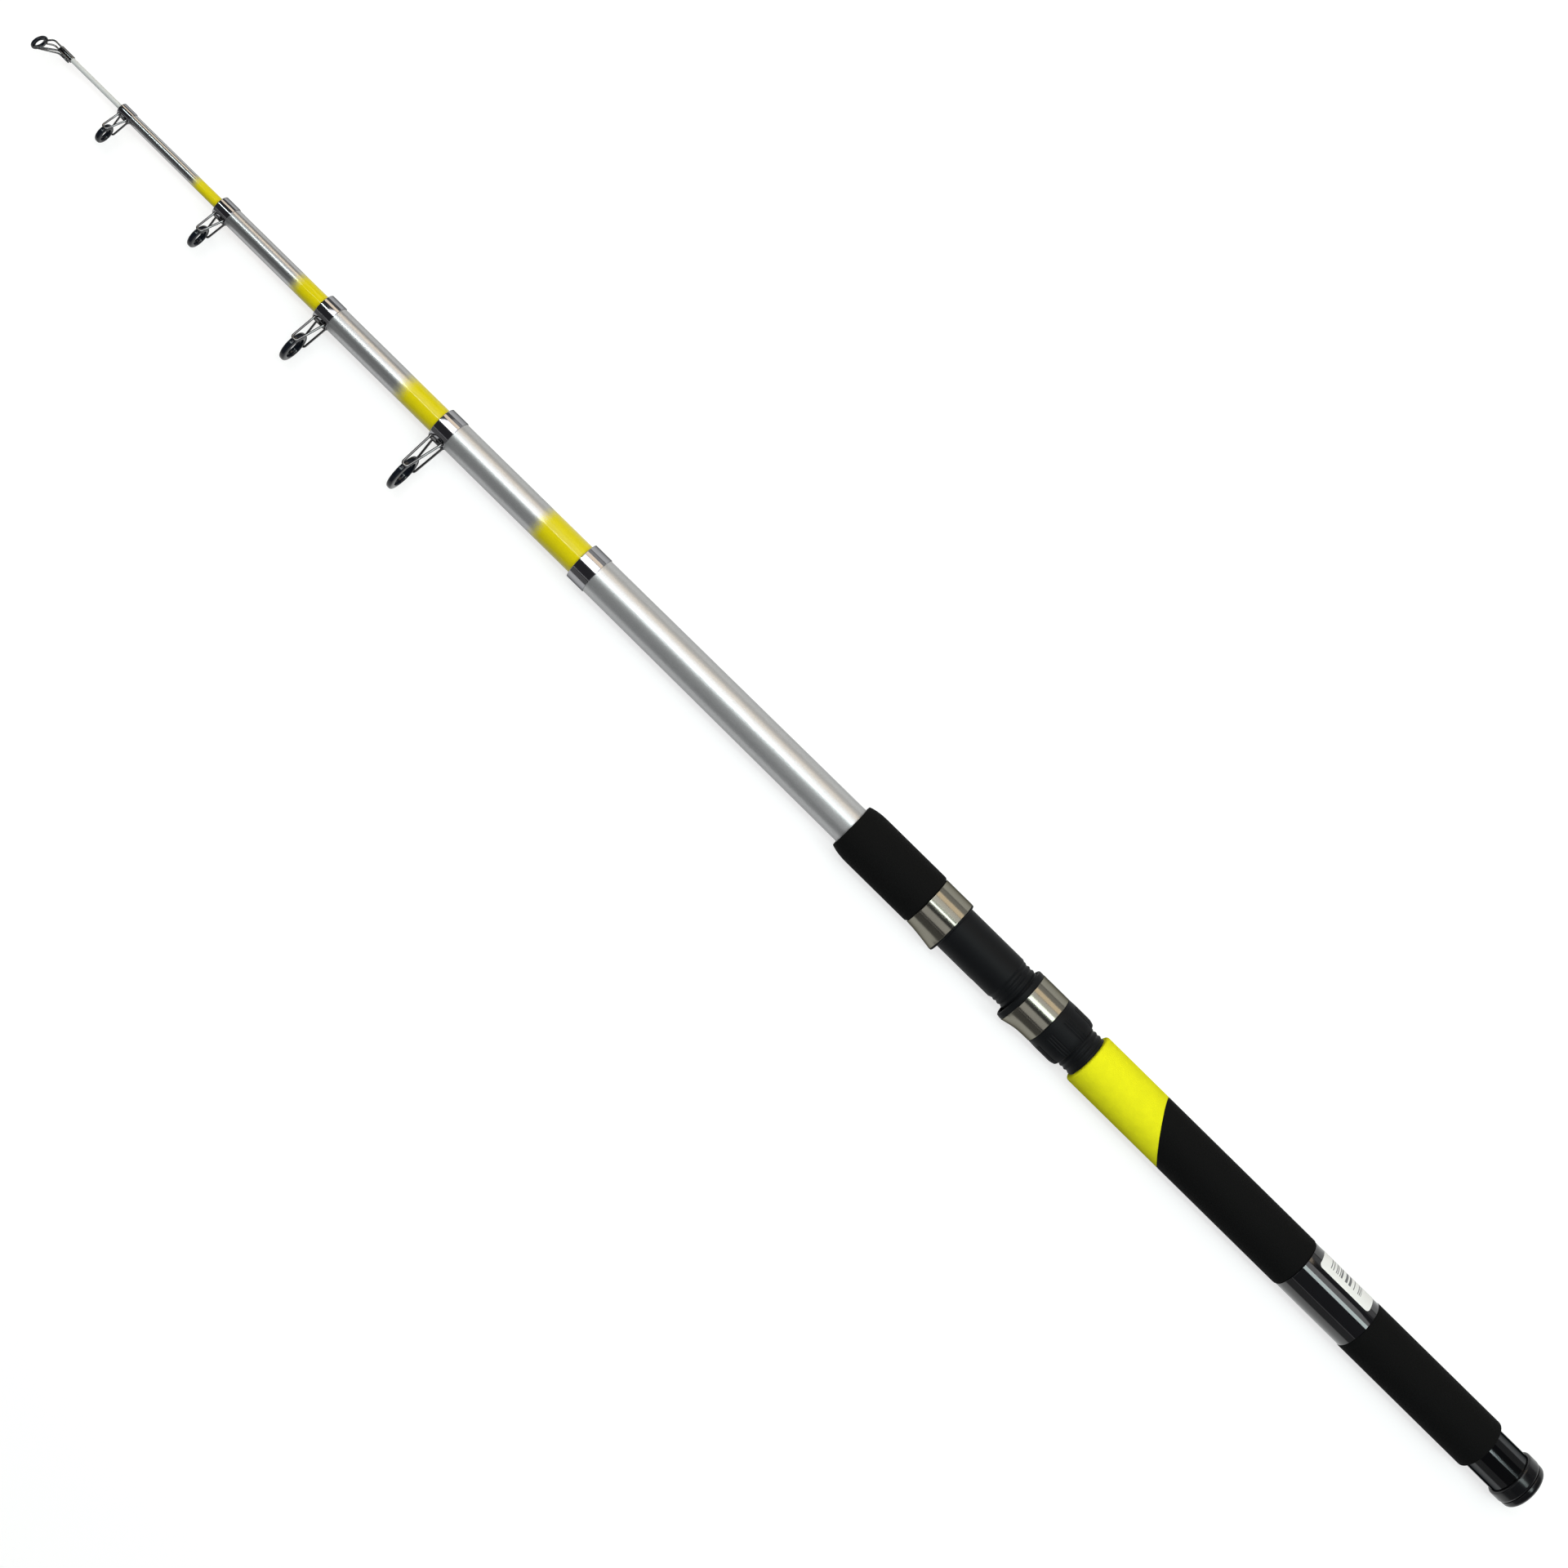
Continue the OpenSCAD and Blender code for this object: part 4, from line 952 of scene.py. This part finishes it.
class ROD_OT_grips(bpy.types.Operator):
    """Makes the foam grips: fore grip, two-colour rear grip and lower grip"""

    bl_idname = "rod.grips"
    bl_label = "Grips"

    def execute(self, context):
        rear, front, r = extent("fore_grip")
        sweep = np.radians(np.linspace(0, NOSE_ARC, 16))
        low = math.cos(sweep[-1])
        nose_r = NOSE_R + (r - NOSE_R) * (np.cos(sweep) - low) / (1 - low)
        nose_x = front - NOSE_L + NOSE_CURVE * np.sin(sweep) / math.sin(sweep[-1])
        heel = eased([(rear, blank_radius(rear) + BOND), (rear, r), (front - 30, r)], [0, 3.2, 0], 9)
        corners = [(nose_x[-1], nose_r[-1]), (front, NOSE_R - 0.2), (front, blank_radius(front) + BOND)]
        rim = eased(corners, [0, 0.3, 0], 6)
        profile = chain(heel, np.stack([nose_x, nose_r], axis=-1), rim[1:])
        made = skin(turned(profile, 160))
        fore = piece("fore_grip_foam", made, "black_eva", "butt", "black_foam", "fore_grip")
        rear, _, r = extent("rear_grip_black")
        front = extent("rear_grip_yellow")[1]
        yellow = piece("rear_grip_yellow_foam", parted(rear, front, r, 2.4, True), "yellow_eva", "butt",
                       "yellow_foam", "rear_grip_yellow")
        black = piece("rear_grip_black_foam", parted(rear, front, r, 2.4, False), "black_eva", "butt",
                      "black_foam", "rear_grip_black")
        corners = slipped_on(*extent("lower_grip"))
        lower = lathe("lower_grip_foam", corners, [0, 4.2, 0.5, 0], "black_eva", "butt", "black_foam",
                      "lower_grip", columns=160, steps=9)
        return {"FINISHED"}


class ROD_OT_sleeve(bpy.types.Operator):
    """Makes the glossy sleeve between the grips and the film label on it"""

    bl_idname = "rod.sleeve"
    bl_label = "Sleeve"

    def execute(self, context):
        sizes = context.scene.rod_sizes
        rear, front, r = extent("hard_sleeve")
        corners = slipped_on(rear, front, r)
        lathe("sleeve_tube", corners, [0, 0.3, 0.3, 0], "gloss_black", "butt", "black_gloss", "hard_sleeve",
              columns=192, steps=9)
        length, width = sizes.label_length / MM, sizes.label_width / MM
        middle = front - LABEL_BACK - length / 2
        corner = LABEL_CORNER
        rounded = corner * (1 - np.cos(np.linspace(0, math.pi / 2, 7)))
        v = chain(rounded[:-1], np.linspace(corner, width - corner, 24), width - rounded[-2::-1])
        edge = np.minimum(v, width - v)
        inset = corner - np.sqrt(np.maximum(corner ** 2 - np.clip(corner - edge, 0, None) ** 2, 0))
        u = np.linspace(-1, 1, 25)
        x = middle + u * (length / 2 - inset[:, None])
        angle = LABEL_TURN + v[:, None] / r
        top = around(x, r + LABEL_LIFT, angle)
        under = around(x[:, ::-1], r - 0.02, angle)
        made = skin(np.concatenate([top, under], axis=1), ring=False)
        label = piece("sleeve_label", made, "label_white", "butt", "label_film")
        flat = made[0]
        along = (flat[:, 0] - middle) / length + 0.5
        round_it = (np.arctan2(flat[:, 2], flat[:, 1]) % TURN - LABEL_TURN) * r / width
        loops = np.empty(len(label.data.loops), dtype=np.int32)
        label.data.loops.foreach_get("vertex_index", loops)
        layer = label.data.uv_layers.new(name="label")
        layer.data.foreach_set("uv", np.stack([along, round_it], axis=-1)[loops].ravel())
        return {"FINISHED"}


class ROD_OT_butt_end(bpy.types.Operator):
    """Makes the flanged insert, the screw cap and the pad on its spigot"""

    bl_idname = "rod.butt_end"
    bl_label = "Butt end"

    def execute(self, context):
        rear, front, r = extent("butt_insert")
        flange_front = front - INSERT_L - BOND
        corners = [
            (rear, INSERT_BORE), (rear, r), (flange_front, r), (flange_front, INSERT_R), (front, INSERT_R),
            (front, INSERT_BORE)]
        rounds = [0.1, 2.3, 2.3, 0, 0.3, 0.2]
        lathe("butt_flange", corners, rounds, "cap_black", "butt", "black_gloss", "butt_insert",
              columns=160, steps=10)
        rear, front, r = extent("butt_cap")
        face = front - SPIGOT_L
        spigot_r = INSERT_BORE - 0.1
        rise = np.radians(np.linspace(2, 90, 26))
        dome_x = rear + DOME_L * (1 - np.cos(rise) ** DOME_POWER)
        dome = np.stack([dome_x, r * np.sin(rise) ** DOME_POWER], axis=-1)
        side = eased([dome[-1], (face, r), (face, spigot_r)], [0, 0.6, 0], 9)
        spigot = eased([(face, spigot_r), (front, spigot_r), (front, 0.5)], [0, 0.4, 0], 5)
        profile = chain(dome, side[1:-1], spigot)
        piece("butt_cap_dome", skin(turned(profile, 160), ring=False), "cap_black", "butt_cap", "black_gloss",
              "butt_cap")
        rear, front, r = extent("cap_pad")
        corners = [(rear, 0.5), (rear, r), (front, r), (front, 0.5)]
        lathe("cap_pad_disc", corners, [0, 0.5, 0.5, 0], "pad_black", "cap_pad", "pad_rubber", "cap_pad",
              columns=96, ring=False)
        return {"FINISHED"}


def lamp(name, place, size, brightness, target=None, reflected=True, tint=(1.0, 1.0, 1.0)):
    """Oblong lamp that looks at a target or down; its power is brightness times pi times its area."""
    data = bpy.data.lights.new(name, "AREA")
    data.shape = "RECTANGLE"
    data.size, data.size_y = size
    data.energy = brightness * math.pi * size[0] * size[1]
    data.color = tint
    made = bpy.data.objects.new(name, data)
    made.location = place
    aim = Vector(target or (*place[:2], 0.0)) - Vector(place)
    made.rotation_euler = aim.to_track_quat("-Z", "Y").to_matrix().to_4x4().to_euler()
    made.visible_camera = False
    made.visible_glossy = reflected
    bpy.context.scene.collection.objects.link(made)


class ROD_OT_stage(bpy.types.Operator):
    """Makes the floor, the lamps, the world and the camera"""

    bl_idname = "rod.stage"
    bl_label = "Stage"

    def execute(self, context):
        scene = context.scene
        stage = scene.rod_stage
        low = CAD_BOX[0][2] / MM
        angle = angles(96)
        flat = np.linspace(0.02, PAPER_R, 8)
        lift = np.linspace(0, math.pi / 2, 12)
        wall = PAPER_R + PAPER_CURVE
        radius = chain(flat, PAPER_R + PAPER_CURVE * np.sin(lift), [wall]) * 1000
        height = chain(0 * flat, PAPER_CURVE * (1 - np.cos(lift)), [PAPER_TOP]) * 1000
        grid = np.stack([radius[:, None] * np.cos(angle), radius[:, None] * np.sin(angle),
                         low + height[:, None] + 0 * angle], axis=-1)
        index = np.arange(grid.shape[0] * 96).reshape(-1, 96)
        near = np.roll(index, -1, axis=1)
        quads = np.stack([index[:-1], index[1:], near[1:], near[:-1]], axis=-1).reshape(-1, 4)
        paint = bpy.data.materials.new("studio_paper")
        paint.use_nodes = True
        tree = paint.node_tree
        tree.nodes.remove(tree.nodes["Principled BSDF"])
        path = node(tree, "LightPath").outputs
        seen = calc("ADD", path["Is Camera Ray"], path["Is Glossy Ray"])
        seen = calc("ADD", seen, path["Is Transmission Ray"], clamp=True)
        level = calc("MULTIPLY", seen, stage.floor)
        spot = node(tree, "TexCoord").outputs["Object"]
        up = node(tree, "SeparateXYZ", {0: spot}).outputs[2]
        # Painted shade: the paper's glow and grey darken up the wall, so that reflections see a dark room
        shade = ranged(up, 1.0, WALL_PAINTED_SHADE, low * MM, low * MM + PAINTED_SHADE_RISE, smooth=True)
        glow = node(tree, "Emission", {"Color": shade, "Strength": level}).outputs[0]
        painted_shade_grey = calc("MULTIPLY", shade, PAPER_GREY)
        paper = node(tree, "BsdfDiffuse", {"Color": painted_shade_grey}).outputs[0]
        total = node(tree, "AddShader", {0: glow, 1: paper}).outputs[0]
        behind = node(tree, "NewGeometry").outputs["Backfacing"]
        clear = node(tree, "BsdfTransparent").outputs[0]
        sided = node(tree, "MixShader", {0: behind, 1: total, 2: clear}).outputs[0]
        send(tree.nodes["Material Output"].inputs, Surface=sided)
        faces = quads.tolist() + [index[0].tolist()]
        floor = mesh_object("studio_floor", grid.reshape(-1, 3), faces, "studio_paper")
        lamp("softbox", (0.45, -0.69, 1.5), (0.95, 1.28), stage.softbox)
        lamp("shelf", (-0.54, -0.94, 1.5), (1.02, 0.78), stage.shelf)
        lamp("strip", (0.65, -0.28, 1.9), (1.9, 0.14), stage.strip, tint=COOL)
        lamp("tube", (-0.85, -0.48, 1.9), (1.21, 0.5), stage.tube, tint=COOL)
        lamp("apron", (0.5, -1.6, 1.2), (2.5, 0.7), stage.apron, (0.5, 0.0, 0.0), tint=WARM)
        lamp("wing", (-0.15, -2.1, 0.6), (2.1, 0.86), stage.wing, (-0.15, 0.0, 0.0))
        lamp("card", (-0.2, 0.96, 1.5), (0.5, 1.08), stage.card)
        lamp("line", (0.15, 2.0, 1.5), (3.2, 0.12), stage.line, (0.15, 0.0, 0.0))
        lamp("fill", (0.15, 1.7, 1.5), (3.0, 2.0), stage.fill, (0.15, 0.0, 0.0), reflected=False)
        world = bpy.data.worlds.new("studio")
        world.use_nodes = True
        sky = world.node_tree
        looked = node(sky, "LightPath").outputs["Is Camera Ray"]
        tone = mixed(looked, (0.05, 0.05, 0.055), (0.8, 0.8, 0.8))
        send(sky.nodes["Background"].inputs, Color=tone)
        scene.world = world
        camera = bpy.data.objects.new("camera", bpy.data.cameras.new("camera"))
        camera.data.lens = stage.lens
        camera.location = stage.camera_at
        camera.rotation_euler = (0.0, 0.0, stage.camera_turn)
        scene.collection.objects.link(camera)
        scene.camera = camera
        scene.view_settings.view_transform = "Standard"
        return {"FINISHED"}


class ROD_PT_panel(bpy.types.Panel):
    """Sizes, colours and pieces of the rod"""

    bl_idname = "ROD_PT_panel"
    bl_label = "Telescopic fishing rod"
    bl_space_type = "VIEW_3D"
    bl_region_type = "UI"
    bl_category = "Rod"

    def draw(self, context):
        for values in (context.scene.rod_sizes, context.scene.rod_colours, context.scene.rod_stage):
            box = self.layout.box()
            for name in values.bl_rna.properties.keys():
                if name not in ("rna_type", "name"):
                    box.prop(values, name)
        for operator in OPERATORS:
            self.layout.operator(operator.bl_idname)


OPERATORS = (
    ROD_OT_finishes, ROD_OT_tubes, ROD_OT_collars, ROD_OT_guides, ROD_OT_tip_guide, ROD_OT_reel_seat,
    ROD_OT_grips, ROD_OT_sleeve, ROD_OT_butt_end, ROD_OT_stage,
)
GROUPS = (RodSizes, RodColours, RodStage)


def register():
    """Registers the classes and hangs the values on the scene."""
    for kind in GROUPS + OPERATORS + (ROD_PT_panel,):
        bpy.utils.register_class(kind)
    bpy.types.Scene.rod_sizes = PointerProperty(type=RodSizes)
    bpy.types.Scene.rod_colours = PointerProperty(type=RodColours)
    bpy.types.Scene.rod_stage = PointerProperty(type=RodStage)


def unregister():
    """Takes the values and the classes off again."""
    del bpy.types.Scene.rod_sizes
    del bpy.types.Scene.rod_colours
    del bpy.types.Scene.rod_stage
    for kind in reversed(GROUPS + OPERATORS + (ROD_PT_panel,)):
        bpy.utils.unregister_class(kind)


def main():
    """Builds the rod and its stage."""
    register()
    bpy.ops.rod.finishes()
    bpy.ops.rod.tubes()
    bpy.ops.rod.collars()
    bpy.ops.rod.guides()
    bpy.ops.rod.tip_guide()
    bpy.ops.rod.reel_seat()
    bpy.ops.rod.grips()
    bpy.ops.rod.sleeve()
    bpy.ops.rod.butt_end()
    bpy.ops.rod.stage()


if __name__ == "__main__":
    main()
